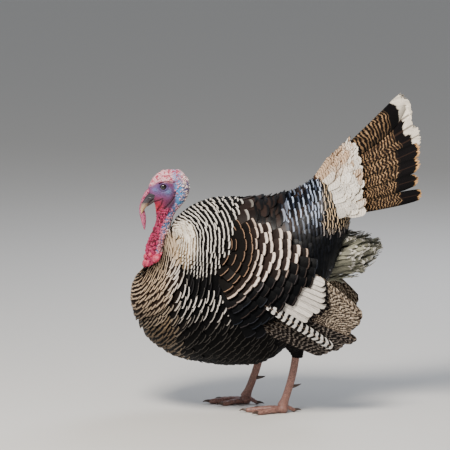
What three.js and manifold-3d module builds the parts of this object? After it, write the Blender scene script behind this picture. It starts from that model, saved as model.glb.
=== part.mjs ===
// A wild turkey, an adult tom, standing in a half strut: life size, in millimetres, +Z up, facing -X.
// The origin is on the floor under the middle of the bird. Its left side faces -Y.

import * as THREE from 'three';
import { mergeVertices } from 'three/addons/utils/BufferGeometryUtils.js';
import Module from 'manifold-3d';

const wasm = await Module();
wasm.setup();

// ---- Sizes ----------------------------------------------------------------------------------------

const GAP = 0.8;              // the thin space left between two neighbouring parts
const SMOOTHING = 0.38;       // faces that differ by less than this are joined
const TRUNK_SIDES = 24;
const TRUNK_RINGS = 21;
const HEAD_SIDES = 14;
const HEAD_RINGS = 10;
const LIMB_SIDES = 8;

// Trunk, feathers included: distance along X, top, underside and half width of each upright section.
const TRUNK = [
  [-359, 312, 282, 12],
  [-351, 330, 246, 52],
  [-336, 348, 212, 82],
  [-311, 362, 180, 108],
  [-286, 394, 160, 127],
  [-274, 428, 154, 133],
  [-262, 456, 148, 138],
  [-249, 475, 142, 143],
  [-224, 503, 130, 151],
  [-179, 526, 122, 158],
  [-119, 538, 116, 163],
  [-31, 531, 120, 158],
  [21, 543, 142, 146],
  [64, 560, 208, 126],
  [114, 592, 296, 98],
  [151, 606, 362, 72],
  [176, 592, 408, 52],
  [190, 560, 450, 28],
];

// Head without the bill: distance along X, top, underside and half width.
const HEAD = [
  [-318, 548, 528, 6],
  [-311, 571, 518, 12],
  [-299, 588, 513, 17],
  [-286, 598, 510, 21],
  [-274, 603, 508, 24],
  [-259, 605, 507, 26],
  [-244, 604, 509, 26],
  [-229, 595, 518, 23],
  [-219, 582, 532, 15],
  [-214, 568, 546, 6],
];

// Neck down the middle: distance along X, height, half depth front to back, half width.
const NECK = [
  [-252, 540, 27, 22],
  [-260, 512, 25, 22],
  [-270, 488, 21, 21],
  [-281, 460, 21, 21],
  [-291, 432, 22, 22],
  [-299, 402, 21, 23],
  [-301, 372, 21, 25],
  [-297, 335, 22, 26],
];

const EYE_CENTRE = [-277.5, 21, 563];
const EYE_RADIUS = 8;

const BILL_UPPER = [
  [-292, 548, 15, 12],
  [-308, 541, 14, 11],
  [-319, 527, 11, 8.5],
  [-327, 510, 6.5, 5],
  [-332, 495, 1.5, 1.5],
];
const BILL_LOWER = [
  [-284, 524, 7, 10],
  [-300, 518, 6, 8.5],
  [-312, 509, 4.5, 6],
  [-322, 500, 1.5, 2],
];
const SNOOD = [
  [-309, 0, 572, 6],
  [-321, -5, 556, 7],
  [-330, -10, 530, 7.5],
  [-332, -13.5, 500, 7],
  [-329, -13.5, 476, 5],
  [-326.5, -13, 452, 2],
];
const DEWLAP = [
  [-288, 512, 7, 5],
  [-287, 498, 11, 5.5],
  [-288, 480, 9, 5],
  [-292, 462, 3, 3],
];

const CARUNCLE_BASE = 380;         // height of the row of large knobs round the foot of the neck
const CARUNCLE_COUNT = 5;
const CARUNCLE_RADIUS = 14;
const CARUNCLE_SPREAD = 1.8;       // half of the angle that the row goes round, in radians

// Tail: eighteen stiff feathers fan out from an arc on the rump to a wider arc at their tips. The share s
// runs from -1 at the left edge of the fan to 1 at its right edge.
const TAIL_FEATHERS = 18;
const TAIL_GROUPS = [['left_outer', 0, 4], ['left_inner', 4, 9], ['right_inner', 9, 14], ['right_outer', 14, 18]];
const TAIL_PLATE = 2.4;
const TAIL_OVERLAP = 2;            // how far the edge of one feather stands over the next
const TAIL_TIP_NOTCH = 0.055;      // how much shorter a feather is at its edges
const COVERT_FEATHERS = 8;
const COVERT_GROUPS = [['left', 0, 4], ['right', 4, 8]];
const COVERT_REACH = 0.48;         // share of the tail that the coverts lie over
const COVERT_PLATE = 6;
const COVERT_RISE = 3.4;
const COVERT_TIP_NOTCH = 0.09;

const TAIL_ROOT = { x: 105, back: 50, half: 62, top: 590, fall: 97 };
const TAIL_TIP = { x: 311.6, back: 48, half: 205, sweep: 1.2, top: 788, fall: 237 };

function tailRoot(s) {
  return new THREE.Vector3(
    TAIL_ROOT.x + TAIL_ROOT.back * s * s,
    TAIL_ROOT.half * s,
    TAIL_ROOT.top - TAIL_ROOT.fall * s * s,
  );
}

function tailTip(s) {
  const out = Math.abs(s);
  return new THREE.Vector3(
    TAIL_TIP.x + TAIL_TIP.back * (1 - (1 - out) ** 3),
    (TAIL_TIP.half * Math.sin(TAIL_TIP.sweep * s)) / Math.sin(TAIL_TIP.sweep),
    TAIL_TIP.top - TAIL_TIP.fall * out ** 1.5,
  );
}

// Feathers under the tail: distance along X, height, half depth and half width.
const UNDERTAIL = [
  [118, 372, 44, 58],
  [160, 380, 50, 56],
  [205, 392, 46, 50],
  [245, 406, 36, 42],
  [272, 424, 16, 26],
];

// Wings: half width of the bird over the wing, by distance along X, and depth of the wing there.
const WING_SPAN = [
  [-170, 163, 50],
  [-120, 171, 60],
  [-60, 178, 60],
  [0, 178, 60],
  [60, 168, 40],
  [110, 155, 14],
  [160, 142, 6],
  [215, 128, 5],
];
const WING_COLUMNS = 12;
const WING_ROWS = 8;
const WING_LOW = 120;
const WING_HIGH = 450;
const WING_WIDEST = 290;           // height at which the wing stands out furthest
const WING_HOLLOW = 0.00165;       // how fast it falls in above and below that height

// Feather rows of the wing: number, first and last root, first and last tip as [x, z], and half width.
const COVERT_PATCH = { centre: [-42, 312], half: [134, 96], tilt: -0.4, sides: 20 };
const WING_BAR = [5, [82, 300], [8, 225], [128, 278], [88, 222], 16];
const SECONDARIES = [7, [20, 360], [40, 255], [182, 318], [206, 198], 19];
const PRIMARIES = [5, [10, 250], [-30, 225], [206, 176], [190, 152], 12];

const HIP = [[0, 66, 250, 62], [26, 66, 205, 46], [48, 62, 168, 24], [56, 61, 150, 14]];
const SHANK_RADIUS = 8.5;
const FOOT_RADIUS = 14;
const FOOT_HEIGHT = 12;
const HOCK_SWELL = 1.45;
const LEFT_HOCK = [56, -61, 150];
const LEFT_FOOT = [20, -64];
const RIGHT_HOCK = [-26, 61, 150];
const RIGHT_FOOT = [-72, 60];
const SPUR_LENGTH = 22;

// Toes: name, angle from straight ahead (inwards is positive), length, root radius, height of the root.
const TOES = [
  ['middle', 0.04, 92, 9.5],
  ['inner', 0.52, 68, 8.5],
  ['outer', -0.5, 72, 8.5],
  ['rear', 2.75, 34, 6.5],
];
const CLAW_LENGTH = 20;

// ---- Materials ------------------------------------------------------------------------------------

function paint(color, roughness) {
  return new THREE.MeshStandardMaterial({ color, roughness, metalness: 0 });
}

const MATERIAL = {
  face: paint(0xb98a9a, 0.55),
  bill: paint(0xc2a586, 0.4),
  snood: paint(0xb9707c, 0.5),
  eye: paint(0x17100c, 0.1),
  neck: paint(0xb03a4c, 0.55),
  caruncle: paint(0xd4606a, 0.45),
  mantle: paint(0x8a8175, 0.8),
  breast: paint(0x3a3632, 0.8),
  belly: paint(0x1f1d1c, 0.85),
  back: paint(0x2c2d33, 0.5),
  wing: paint(0x3c3732, 0.7),
  wingBar: paint(0xe4dccb, 0.8),
  flight: paint(0x70665a, 0.75),
  tail: paint(0x4a3526, 0.75),
  tailCovert: paint(0xcdbfa6, 0.8),
  down: paint(0x9a948b, 0.9),
  leg: paint(0x6e4b3c, 0.6),
  claw: paint(0x2b211c, 0.4),
};

// ---- Shapes ---------------------------------------------------------------------------------------

const bird = new THREE.Group();
bird.name = 'wild_turkey';

// Reads every column of a table at one value of its first column, on a smooth curve with no overshoot.
function readTable(table, at) {
  const last = table.length - 2;
  let i = 0;
  while (i < last && at > table[i + 1][0]) {
    i += 1;
  }
  const run = table[i + 1][0] - table[i][0];
  const t = (at - table[i][0]) / run;
  const slope = (row, column) => {
    if (row === 0 || row === table.length - 1) {
      return 0;
    }
    const before = (table[row][column] - table[row - 1][column]) / (table[row][0] - table[row - 1][0]);
    const after = (table[row + 1][column] - table[row][column]) / (table[row + 1][0] - table[row][0]);
    return before * after <= 0 ? 0 : (2 * before * after) / (before + after);
  };
  return table[i].map((value, column) => {
    if (column === 0) {
      return at;
    }
    const rise = table[i + 1][column];
    return value * (2 * t ** 3 - 3 * t ** 2 + 1) + rise * (3 * t ** 2 - 2 * t ** 3)
      + run * (slope(i, column) * (t ** 3 - 2 * t ** 2 + t) + slope(i + 1, column) * (t ** 3 - t ** 2));
  });
}

// Makes a solid from triangles.
function solidFrom(positions, triangles) {
  const geometry = new THREE.BufferGeometry();
  geometry.setAttribute('position', new THREE.Float32BufferAttribute(positions, 3));
  geometry.setIndex(triangles);
  const joined = mergeVertices(geometry);
  const solid = new wasm.Manifold(new wasm.Mesh({
    numProp: 3,
    vertProperties: new Float32Array(joined.attributes.position.array),
    triVerts: new Uint32Array(joined.index.array),
  }));
  return solid;
}

// Joins rings of points into a closed body, with each end closed on its middle.
function loft(rings) {
  const sides = rings[0].length;
  const positions = rings.flat(2);
  const triangles = [];
  for (let k = 0; k < rings.length - 1; k += 1) {
    for (let i = 0; i < sides; i += 1) {
      const a = k * sides + i;
      const b = k * sides + ((i + 1) % sides);
      triangles.push(a, b, b + sides, a, b + sides, a + sides);
    }
  }
  const middle = (ring) => [0, 1, 2].map((axis) => ring.reduce((sum, p) => sum + p[axis], 0) / sides);
  const first = positions.length / 3;
  positions.push(...middle(rings[0]), ...middle(rings[rings.length - 1]));
  for (let i = 0; i < sides; i += 1) {
    const next = (i + 1) % sides;
    const end = (rings.length - 1) * sides;
    triangles.push(first, next, i, first + 1, end + i, end + next);
  }
  const solid = solidFrom(positions, triangles);
  return solid.volume() < 0 ? loft(rings.map((ring) => [...ring].reverse())) : solid;
}

// Upright sections along X from a table of top, underside and half width, made larger by grow all round.
function body(table, count, sides, grow) {
  const from = table[0][0];
  const to = table[table.length - 1][0];
  const rings = [];
  for (let k = 0; k <= count; k += 1) {
    const share = 0.5 - 0.5 * Math.cos((Math.PI * k) / count);
    const x = from + (to - from) * (0.35 * share + (0.65 * k) / count);
    const [, top, under, half] = readTable(table, x);
    const push = k === 0 ? -grow : k === count ? grow : 0;
    const ring = [];
    for (let i = 0; i < sides; i += 1) {
      const turn = (2 * Math.PI * i) / sides;
      const y = (half + grow) * Math.sin(turn);
      const z = (top + under) / 2 + ((top - under) / 2 + grow) * Math.cos(turn);
      ring.push([x + push, y, z]);
    }
    rings.push(ring);
  }
  return loft(rings);
}

// A round limb along a path of [x, y, z, half depth, half width] rows; side is the direction of its width.
function limb(path, side, sides, grow = 0) {
  const width = new THREE.Vector3(...side).normalize();
  const points = path.map((row) => new THREE.Vector3(row[0], row[1], row[2]));
  const rings = path.map((row, k) => {
    const before = points[Math.max(k - 1, 0)];
    const after = points[Math.min(k + 1, points.length - 1)];
    const along = after.clone().sub(before).normalize();
    const depth = new THREE.Vector3().crossVectors(along, width).normalize();
    const across = new THREE.Vector3().crossVectors(depth, along).normalize();
    const ring = [];
    for (let i = 0; i < sides; i += 1) {
      const turn = (2 * Math.PI * i) / sides;
      const p = points[k].clone()
        .addScaledVector(depth, (row[3] + grow) * Math.cos(turn))
        .addScaledVector(across, (row[4] + grow) * Math.sin(turn));
      ring.push([p.x, p.y, p.z]);
    }
    return ring;
  });
  return loft(rings);
}

// Puts rows between the rows of a path, on a smooth curve.
function smooth(path, count) {
  const numbered = path.map((row, k) => [k, ...row]);
  const rows = [];
  for (let k = 0; k <= count; k += 1) {
    rows.push(readTable(numbered, ((path.length - 1) * k) / count).slice(1));
  }
  return rows;
}

// A path in the bird's middle plane: [x, z, half depth, half width] rows become [x, 0, z, ...].
function upright(table, count) {
  return smooth(table.map(([x, z, depth, half]) => [x, 0, z, depth, half]), count);
}

function ball(centre, radius, detail) {
  const geometry = new THREE.IcosahedronGeometry(radius, detail);
  geometry.deleteAttribute('normal');
  geometry.deleteAttribute('uv');
  geometry.translate(...centre);
  const joined = mergeVertices(geometry, 0.001);
  return solidFrom(Array.from(joined.attributes.position.array), Array.from(joined.index.array));
}

// A closed sheet of columns by rows; point gives a place on its upper or its under face.
function sheet(columns, rows, point) {
  const positions = [];
  for (const under of [false, true]) {
    for (let i = 0; i < columns; i += 1) {
      for (let j = 0; j < rows; j += 1) {
        positions.push(...point(i, j, under));
      }
    }
  }
  const triangles = [];
  const at = (i, j, under) => (under ? columns * rows : 0) + i * rows + j;
  const quad = (a, b, c, d) => triangles.push(a, b, c, a, c, d);
  for (let i = 0; i < columns - 1; i += 1) {
    for (let j = 0; j < rows - 1; j += 1) {
      quad(at(i, j), at(i + 1, j), at(i + 1, j + 1), at(i, j + 1));
      quad(at(i, j, true), at(i, j + 1, true), at(i + 1, j + 1, true), at(i + 1, j, true));
    }
    quad(at(i, 0), at(i, 0, true), at(i + 1, 0, true), at(i + 1, 0));
    quad(at(i, rows - 1), at(i + 1, rows - 1), at(i + 1, rows - 1, true), at(i, rows - 1, true));
  }
  for (let j = 0; j < rows - 1; j += 1) {
    quad(at(0, j), at(0, j + 1), at(0, j + 1, true), at(0, j, true));
    quad(at(columns - 1, j), at(columns - 1, j, true), at(columns - 1, j + 1, true), at(columns - 1, j + 1));
  }
  const solid = solidFrom(positions, triangles);
  if (solid.volume() > 0) {
    return solid;
  }
  const turned = triangles.map((corner, k) => triangles[k % 3 === 0 ? k : k % 3 === 1 ? k + 1 : k - 1]);
  return solidFrom(positions, turned);
}

// Adds a part to the bird.
function place(name, solid, material) {
  const mesh = solid.simplify(SMOOTHING).getMesh();
  const geometry = new THREE.BufferGeometry();
  geometry.setAttribute('position', new THREE.Float32BufferAttribute(Array.from(mesh.vertProperties), 3));
  geometry.setIndex(Array.from(mesh.triVerts));
  geometry.computeVertexNormals();
  const part = new THREE.Mesh(geometry, material);
  part.name = name;
  bird.add(part);
}

// Keeps the side of a solid that lies beyond a plane, short of it by half the gap.
function beyond(solid, normal, through) {
  const n = new THREE.Vector3(...normal).normalize();
  const offset = n.dot(new THREE.Vector3(...through)) + GAP / 2;
  return solid.trimByPlane([n.x, n.y, n.z], offset);
}

// Keeps the largest piece of a solid, so that a cut leaves no loose crumbs.
function largest(solid) {
  return solid.decompose().reduce((best, piece) => (piece.volume() > best.volume() ? piece : best));
}

// ---- Trunk ----------------------------------------------------------------------------------------

const trunk = body(TRUNK, TRUNK_RINGS, TRUNK_SIDES, 0);
const trunkRoom = body(TRUNK, TRUNK_RINGS, TRUNK_SIDES, GAP);

const SHOULDER = [-150, 0, 380];
const SHOULDER_SLOPE = [1, 0, 0.28];
const COLLAR = [-200, 0, 336];
const FLANK = [0, 0, 250];
const LOIN = [62, 0, 400];
const LOIN_SLOPE = [1, 0, -0.25];
const flip = (normal) => normal.map((value) => -value);

const front = beyond(trunk, flip(SHOULDER_SLOPE), SHOULDER);
const hind = beyond(trunk, SHOULDER_SLOPE, SHOULDER);
const middle = beyond(hind, flip(LOIN_SLOPE), LOIN);
place('mantle', beyond(front, [0.18, 0, 1], COLLAR), MATERIAL.mantle);
place('breast', beyond(front, [-0.18, 0, -1], COLLAR), MATERIAL.breast);
place('back', beyond(middle, [0, 0, 1], FLANK), MATERIAL.back);
place('belly', beyond(middle, [0, 0, -1], FLANK), MATERIAL.belly);
place('rump', beyond(hind, LOIN_SLOPE, LOIN), MATERIAL.back);

// ---- Head and neck --------------------------------------------------------------------------------

const head = body(HEAD, HEAD_RINGS, HEAD_SIDES, 0);
const headRoom = body(HEAD, HEAD_RINGS, HEAD_SIDES, GAP);
const eyes = [1, -1].map((side) => [EYE_CENTRE[0], side * EYE_CENTRE[1], EYE_CENTRE[2]]);
const eyeRooms = eyes.map((centre) => ball(centre, EYE_RADIUS + GAP, 1));
const neckPath = upright(NECK, 8);
const neckRoom = limb(neckPath, [0, 1, 0], HEAD_SIDES, GAP);
const billUpperPath = upright(BILL_UPPER, 6);
const billLowerPath = upright(BILL_LOWER, 5);
const billUpperRoom = limb(billUpperPath, [0, 1, 0], LIMB_SIDES + 2, GAP);

place('head', head.subtract(eyeRooms[0]).subtract(eyeRooms[1]), MATERIAL.face);
place('eye_right', ball(eyes[0], EYE_RADIUS, 1), MATERIAL.eye);
place('eye_left', ball(eyes[1], EYE_RADIUS, 1), MATERIAL.eye);
place('bill_upper', largest(limb(billUpperPath, [0, 1, 0], LIMB_SIDES + 2).subtract(headRoom)), MATERIAL.bill);
const billLower = limb(billLowerPath, [0, 1, 0], LIMB_SIDES + 2);
const billLowerRoom = limb(billLowerPath, [0, 1, 0], LIMB_SIDES + 2, GAP);
place('bill_lower', largest(billLower.subtract(headRoom).subtract(billUpperRoom)), MATERIAL.bill);

const snoodPath = smooth(SNOOD.map(([x, y, z, radius]) => [x, y, z, radius, radius]), 7);
const snood = limb(snoodPath, [0, 1, 0], LIMB_SIDES).subtract(headRoom).subtract(billUpperRoom);
place('snood', largest(snood), MATERIAL.snood);

const neck = limb(neckPath, [0, 1, 0], HEAD_SIDES).subtract(headRoom).subtract(trunkRoom);
place('neck', largest(neck.subtract(billLowerRoom)), MATERIAL.neck);

const dewlap = limb(upright(DEWLAP, 7), [0, 1, 0], LIMB_SIDES);
place('dewlap', largest(dewlap.subtract(headRoom).subtract(neckRoom).subtract(billLowerRoom)), MATERIAL.neck);

// The row of knobs hangs in front of the neck's foot, the largest of them on each side.
let knobs = null;
for (let k = 0; k < CARUNCLE_COUNT; k += 1) {
  const turn = CARUNCLE_SPREAD * ((2 * k) / (CARUNCLE_COUNT - 1) - 1);
  const fall = 14 * Math.cos(turn);
  const centre = [-300 - 21 * Math.cos(turn), 25 * Math.sin(turn), CARUNCLE_BASE - fall];
  const knob = ball(centre, CARUNCLE_RADIUS * (0.9 + 0.2 * Math.sin(turn) ** 2), 1);
  knobs = knobs ? knobs.add(knob) : knob;
}
place('caruncles', largest(knobs.subtract(neckRoom).subtract(trunkRoom)), MATERIAL.caruncle);

// ---- Tail -----------------------------------------------------------------------------------------

// A point on the fan at share s and part v of the way to the tips, raised off the upper face.
function fanPoint(s, v, rise) {
  const at = (share, part) => tailRoot(share).lerp(tailTip(share), part);
  const step = 0.01;
  const across = at(s + step, v).sub(at(s - step, v));
  const along = at(s, v + step).sub(at(s, v - step));
  const face = new THREE.Vector3().crossVectors(along, across).normalize();
  return at(s, v).addScaledVector(face, rise).toArray();
}

// Feathers from first to last of a fan of count, each with a rounded tip and its outer edge over the next one.
function fan(first, last, count, reach, notch, rise, plate) {
  const columns = [];
  for (let k = first; k < last; k += 1) {
    for (const q of [0.02, 0.2, 0.5, 0.8, 0.98]) {
      columns.push([(2 * (k + q)) / count - 1, Math.abs(2 * q - 1), k + 0.5 < count / 2 ? 1 - q : q]);
    }
  }
  const parts = [0, 0.82, 1];
  return sheet(columns.length, parts.length, (i, j, under) => {
    const [s, aside, over] = columns[i];
    const v = parts[j] * reach * (1 - notch * aside ** 3);
    return fanPoint(s, v, rise + TAIL_OVERLAP * over + (under ? 0 : plate));
  });
}

const underPath = upright(UNDERTAIL, 6);
const undertail = limb(underPath, [0, 1, 0], 12).subtract(trunkRoom);
const undertailRoom = limb(underPath, [0, 1, 0], 12, GAP);
for (const [side, first, last] of TAIL_GROUPS) {
  const feathers = fan(first, last, TAIL_FEATHERS, 1, TAIL_TIP_NOTCH, 0, TAIL_PLATE);
  place(`tail_${side}`, largest(feathers.subtract(trunkRoom).subtract(undertailRoom)), MATERIAL.tail);
}
for (const [side, first, last] of COVERT_GROUPS) {
  const feathers = fan(first, last, COVERT_FEATHERS, COVERT_REACH, COVERT_TIP_NOTCH,
    TAIL_PLATE + COVERT_RISE, COVERT_PLATE);
  place(`tail_coverts_${side}`, largest(feathers.subtract(trunkRoom)), MATERIAL.tailCovert);
}
place('undertail_coverts', largest(undertail), MATERIAL.down);

// ---- Wings ----------------------------------------------------------------------------------------

// The left wing's depth, as a block between its outer face and a face further in.
function wingBlock() {
  const [from, to] = [WING_SPAN[0][0], WING_SPAN[WING_SPAN.length - 1][0]];
  return sheet(WING_COLUMNS, WING_ROWS, (i, j, under) => {
    const x = from + ((to - from) * i) / (WING_COLUMNS - 1);
    const z = WING_LOW + ((WING_HIGH - WING_LOW) * j) / (WING_ROWS - 1);
    const [, span, depth] = readTable(WING_SPAN, x);
    return [x, -(span - WING_HOLLOW * (z - WING_WIDEST) ** 2 - (under ? depth : 0)), z];
  });
}

// An upright prism through the wing with the outline given as [x, z] corners.
function prism(corners) {
  const rim = (y) => corners.map(([x, z]) => [x, y, z]);
  return loft([rim(-260), rim(-40)]);
}

// A row of feather outlines that fan between two roots and two tips, with some room left round them.
function featherRow(count, rootA, rootB, tipA, tipB, halfWidth, room = 0) {
  let all = null;
  const mix = (a, b, t) => [a[0] + (b[0] - a[0]) * t, a[1] + (b[1] - a[1]) * t];
  for (let k = 0; k < count; k += 1) {
    const t = k / (count - 1);
    const root = mix(rootA, rootB, t);
    const tip = mix(tipA, tipB, t);
    const run = [tip[0] - root[0], tip[1] - root[1]];
    const length = Math.hypot(...run);
    const along = [run[0] / length, run[1] / length];
    const across = [-along[1], along[0]];
    const edge = [
      [-room, halfWidth + room],
      [length * 0.5, halfWidth * 1.1 + room],
      [length - halfWidth + room, halfWidth * 0.95 + room],
      [length - halfWidth * 0.3 + room, halfWidth * 0.6 + room],
    ];
    const outline = [...edge, [length + 2 * room, 0], ...[...edge].reverse().map(([s, w]) => [s, -w])];
    const feather = prism(outline.map(([s, w]) => [
      root[0] + along[0] * s + across[0] * w, root[1] + along[1] * s + across[1] * w]));
    all = all ? all.add(feather) : feather;
  }
  return all;
}

// The oval prism of the wing's coverts, with some room left round it.
function oval({ centre, half, tilt, sides }, room) {
  const corners = [];
  for (let i = 0; i < sides; i += 1) {
    const turn = (2 * Math.PI * i) / sides;
    const u = (half[0] + room) * Math.cos(turn);
    const v = (half[1] + room) * Math.sin(turn);
    corners.push([
      centre[0] + u * Math.cos(tilt) - v * Math.sin(tilt),
      centre[1] + u * Math.sin(tilt) + v * Math.cos(tilt),
    ]);
  }
  return prism(corners);
}

const wing = wingBlock().subtract(trunkRoom);
const covertOutline = oval(COVERT_PATCH, 0);
const covertPatchRoom = oval(COVERT_PATCH, GAP);
const barOutline = featherRow(...WING_BAR).subtract(covertPatchRoom);
const barRoom = featherRow(...WING_BAR, 2 * GAP).add(covertPatchRoom);
const secondaries = featherRow(...SECONDARIES).subtract(barRoom);
const secondaryRoom = featherRow(...SECONDARIES, 2 * GAP);
const primaries = featherRow(...PRIMARIES).subtract(barRoom).subtract(secondaryRoom);
const wingParts = [
  ['coverts', covertOutline, MATERIAL.wing],
  ['bar', barOutline, MATERIAL.wingBar],
  ['secondaries', secondaries, MATERIAL.flight],
  ['primaries', primaries, MATERIAL.flight],
];
for (const [name, outline, material] of wingParts) {
  const part = largest(wing.intersect(outline));
  place(`wing_left_${name}`, part, material);
  place(`wing_right_${name}`, part.mirror([0, 1, 0]), material);
}

// ---- Legs -----------------------------------------------------------------------------------------

const DOWN = [0, 0, -1];
const onFloor = (solid) => solid.trimByPlane([0, 0, 1], 0);

// One leg. The left thigh shows below the flank; the right one lies inside the belly feathers.
function leg(side, sign, hock, foot) {
  const hip = HIP.map(([x, y, z, radius]) => [x + hock[0] - LEFT_HOCK[0], sign * y, z, radius, radius * 0.85]);
  const thighPath = smooth(hip, 6);
  const thigh = limb(thighPath, [0, 1, 0], 14).subtract(trunkRoom);
  const thighRoom = limb(thighPath, [0, 1, 0], 14, GAP);
  const hub = [foot[0], foot[1], FOOT_HEIGHT];
  const hubRoom = ball(hub, FOOT_RADIUS + GAP, 1);
  const downShank = (t) => hock.map((value, axis) => value + (hub[axis] - value) * t);
  const shankPath = [
    [hock[0] + 4, hock[1], hock[2] + 12, SHANK_RADIUS * 0.9, SHANK_RADIUS * 0.9],
    [hock[0], hock[1], hock[2] - 4, SHANK_RADIUS * HOCK_SWELL, SHANK_RADIUS * HOCK_SWELL * 0.9],
    [...downShank(0.2), SHANK_RADIUS, SHANK_RADIUS * 0.9],
    [...downShank(0.7), SHANK_RADIUS, SHANK_RADIUS * 0.9],
    [...hub, SHANK_RADIUS * 1.2, SHANK_RADIUS * 1.2],
  ];
  const shank = limb(shankPath, [0, 1, 0], LIMB_SIDES)
    .subtract(hubRoom).subtract(thighRoom).subtract(trunkRoom);
  const shankRoom = limb(shankPath, [0, 1, 0], LIMB_SIDES, GAP);
  if (!thigh.isEmpty()) {
    place(`thigh_${side}`, largest(thigh), MATERIAL.belly);
  }
  place(`shank_${side}`, largest(shank), MATERIAL.leg);
  place(`foot_${side}`, onFloor(ball(hub, FOOT_RADIUS, 1)), MATERIAL.leg);

  const spurRoot = downShank(0.6);
  const spurTip = [spurRoot[0] + SPUR_LENGTH + 6, spurRoot[1] - sign * 8, spurRoot[2] + 4];
  const spur = limb([[...spurRoot, 5, 5], [...spurTip, 0.8, 0.8]], [0, 1, 0], 8).subtract(shankRoom);
  place(`spur_${side}`, largest(spur), MATERIAL.claw);

  let taken = shankRoom.add(hubRoom);
  for (const [name, angle, length, radius] of TOES) {
    const reach = [-Math.cos(angle), -sign * Math.sin(angle)];
    const rear = name === 'rear';
    const rootHeight = rear ? 15 : radius * 0.8;
    const tipHeight = radius * 0.55;
    const path = [];
    const joints = 4;
    for (let k = 0; k <= joints; k += 1) {
      const t = k / joints;
      const swell = k % 2 === 0 ? 1 : 0.88;
      const thick = radius * (1 - 0.32 * t) * swell;
      path.push([
        hub[0] + reach[0] * (FOOT_RADIUS * 0.5 + length * t),
        hub[1] + reach[1] * (FOOT_RADIUS * 0.5 + length * t),
        rootHeight + (tipHeight - rootHeight) * t, thick, thick]);
    }
    const end = path[joints];
    const across = [-reach[1], reach[0], 0];
    const toeEnd = [end[0], end[1], end[2]];
    const whole = onFloor(limb(path, across, LIMB_SIDES).subtract(taken));
    const toe = beyond(whole, [-reach[0], -reach[1], 0], toeEnd);
    place(`toe_${side}_${name}`, largest(toe), MATERIAL.leg);
    taken = taken.add(limb(path, across, LIMB_SIDES, GAP));
    const claw = [];
    for (let k = 0; k <= 2; k += 1) {
      const t = k / 2;
      const thick = radius * 0.52 * (1 - t) + 0.7;
      claw.push([
        end[0] + reach[0] * (CLAW_LENGTH * t - 1),
        end[1] + reach[1] * (CLAW_LENGTH * t - 1),
        radius * 0.62 + 1.8 * Math.sin(Math.PI * t) - (radius * 0.62 - 2) * t * t, thick, thick]);
    }
    const nail = beyond(limb(claw, across, 6), [reach[0], reach[1], 0], toeEnd);
    place(`claw_${side}_${name}`, onFloor(nail), MATERIAL.claw);
  }
}

leg('left', -1, LEFT_HOCK, LEFT_FOOT);
leg('right', 1, RIGHT_HOCK, RIGHT_FOOT);

export default bird;
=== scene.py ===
# %% [markdown]
# # An adult tom turkey in a half strut
# The bird is modelled as a museum would show it: bare warty head and neck, a body wrapped in rows of
# feathers, drooped wings and a raised, part-fanned tail. One skin carries everything. Feathers are thin
# curved vanes planted on smooth surfaces, so the same few functions make a breast, a wing and a tail.

# %% The frame
import math

import bpy
import numpy as np
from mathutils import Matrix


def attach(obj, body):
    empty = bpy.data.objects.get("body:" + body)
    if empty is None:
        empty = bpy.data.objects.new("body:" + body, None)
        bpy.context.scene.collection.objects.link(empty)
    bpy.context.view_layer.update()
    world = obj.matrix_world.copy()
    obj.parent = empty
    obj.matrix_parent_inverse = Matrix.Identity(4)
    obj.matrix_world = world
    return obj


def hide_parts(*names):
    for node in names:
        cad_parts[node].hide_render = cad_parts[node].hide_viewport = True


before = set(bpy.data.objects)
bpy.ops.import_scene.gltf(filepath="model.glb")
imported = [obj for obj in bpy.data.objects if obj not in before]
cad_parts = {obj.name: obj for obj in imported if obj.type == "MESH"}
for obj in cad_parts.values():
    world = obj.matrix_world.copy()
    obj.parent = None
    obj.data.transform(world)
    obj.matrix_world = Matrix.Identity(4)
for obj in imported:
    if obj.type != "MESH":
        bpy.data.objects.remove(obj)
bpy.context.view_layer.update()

MM = 0.001

# %% [markdown]
# ## Camera
# The bird is seen from its left side and a little from above, from nine metres off through a long lens,
# so that near and far parts keep their true proportions. The view takes in 1.125 m at the bird.

# %% Camera
CAMERA_HEIGHT = math.radians(8)
CAMERA_DISTANCE = 9.0
VIEW_WIDTH = 1.125
VIEW_CENTRE = np.array([-0.124, 0.0, 0.465])

camera_data = bpy.data.cameras.new("camera")
camera_data.lens = camera_data.sensor_width * CAMERA_DISTANCE / VIEW_WIDTH
camera = bpy.data.objects.new("camera", camera_data)
camera.location = VIEW_CENTRE + CAMERA_DISTANCE * np.array(
    [0, -math.cos(CAMERA_HEIGHT), math.sin(CAMERA_HEIGHT)])
camera.rotation_euler = (math.radians(90) - CAMERA_HEIGHT, 0, 0)
bpy.context.collection.objects.link(camera)
bpy.context.scene.camera = camera
print("lens", round(camera_data.lens), "mm")

# %% [markdown]
# ## Nodes and colours
# Every material is a short chain of nodes, so one helper adds a node with its settings and links.
# Colours are written as sRGB hex and turned to the linear values that the renderer works in.


# %% Material helpers
def colour(hex_code):
    """Linear colour from an sRGB hex code: c / 12.92 below 0.04045, else ((c + 0.055) / 1.055) ** 2.4."""
    srgb = np.array([int(hex_code[k:k + 2], 16) for k in (0, 2, 4)]) / 255
    linear = np.where(srgb <= 0.04045, srgb / 12.92, ((srgb + 0.055) / 1.055) ** 2.4)
    return (*linear, 1.0)


def fill(tree, node, inputs):
    """Links each socket, or sets each constant, to the input of that name or number."""
    for place, value in inputs.items():
        if isinstance(value, bpy.types.NodeSocket):
            tree.links.new(value, node.inputs[place])
        else:
            node.inputs[place].default_value = value


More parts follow.
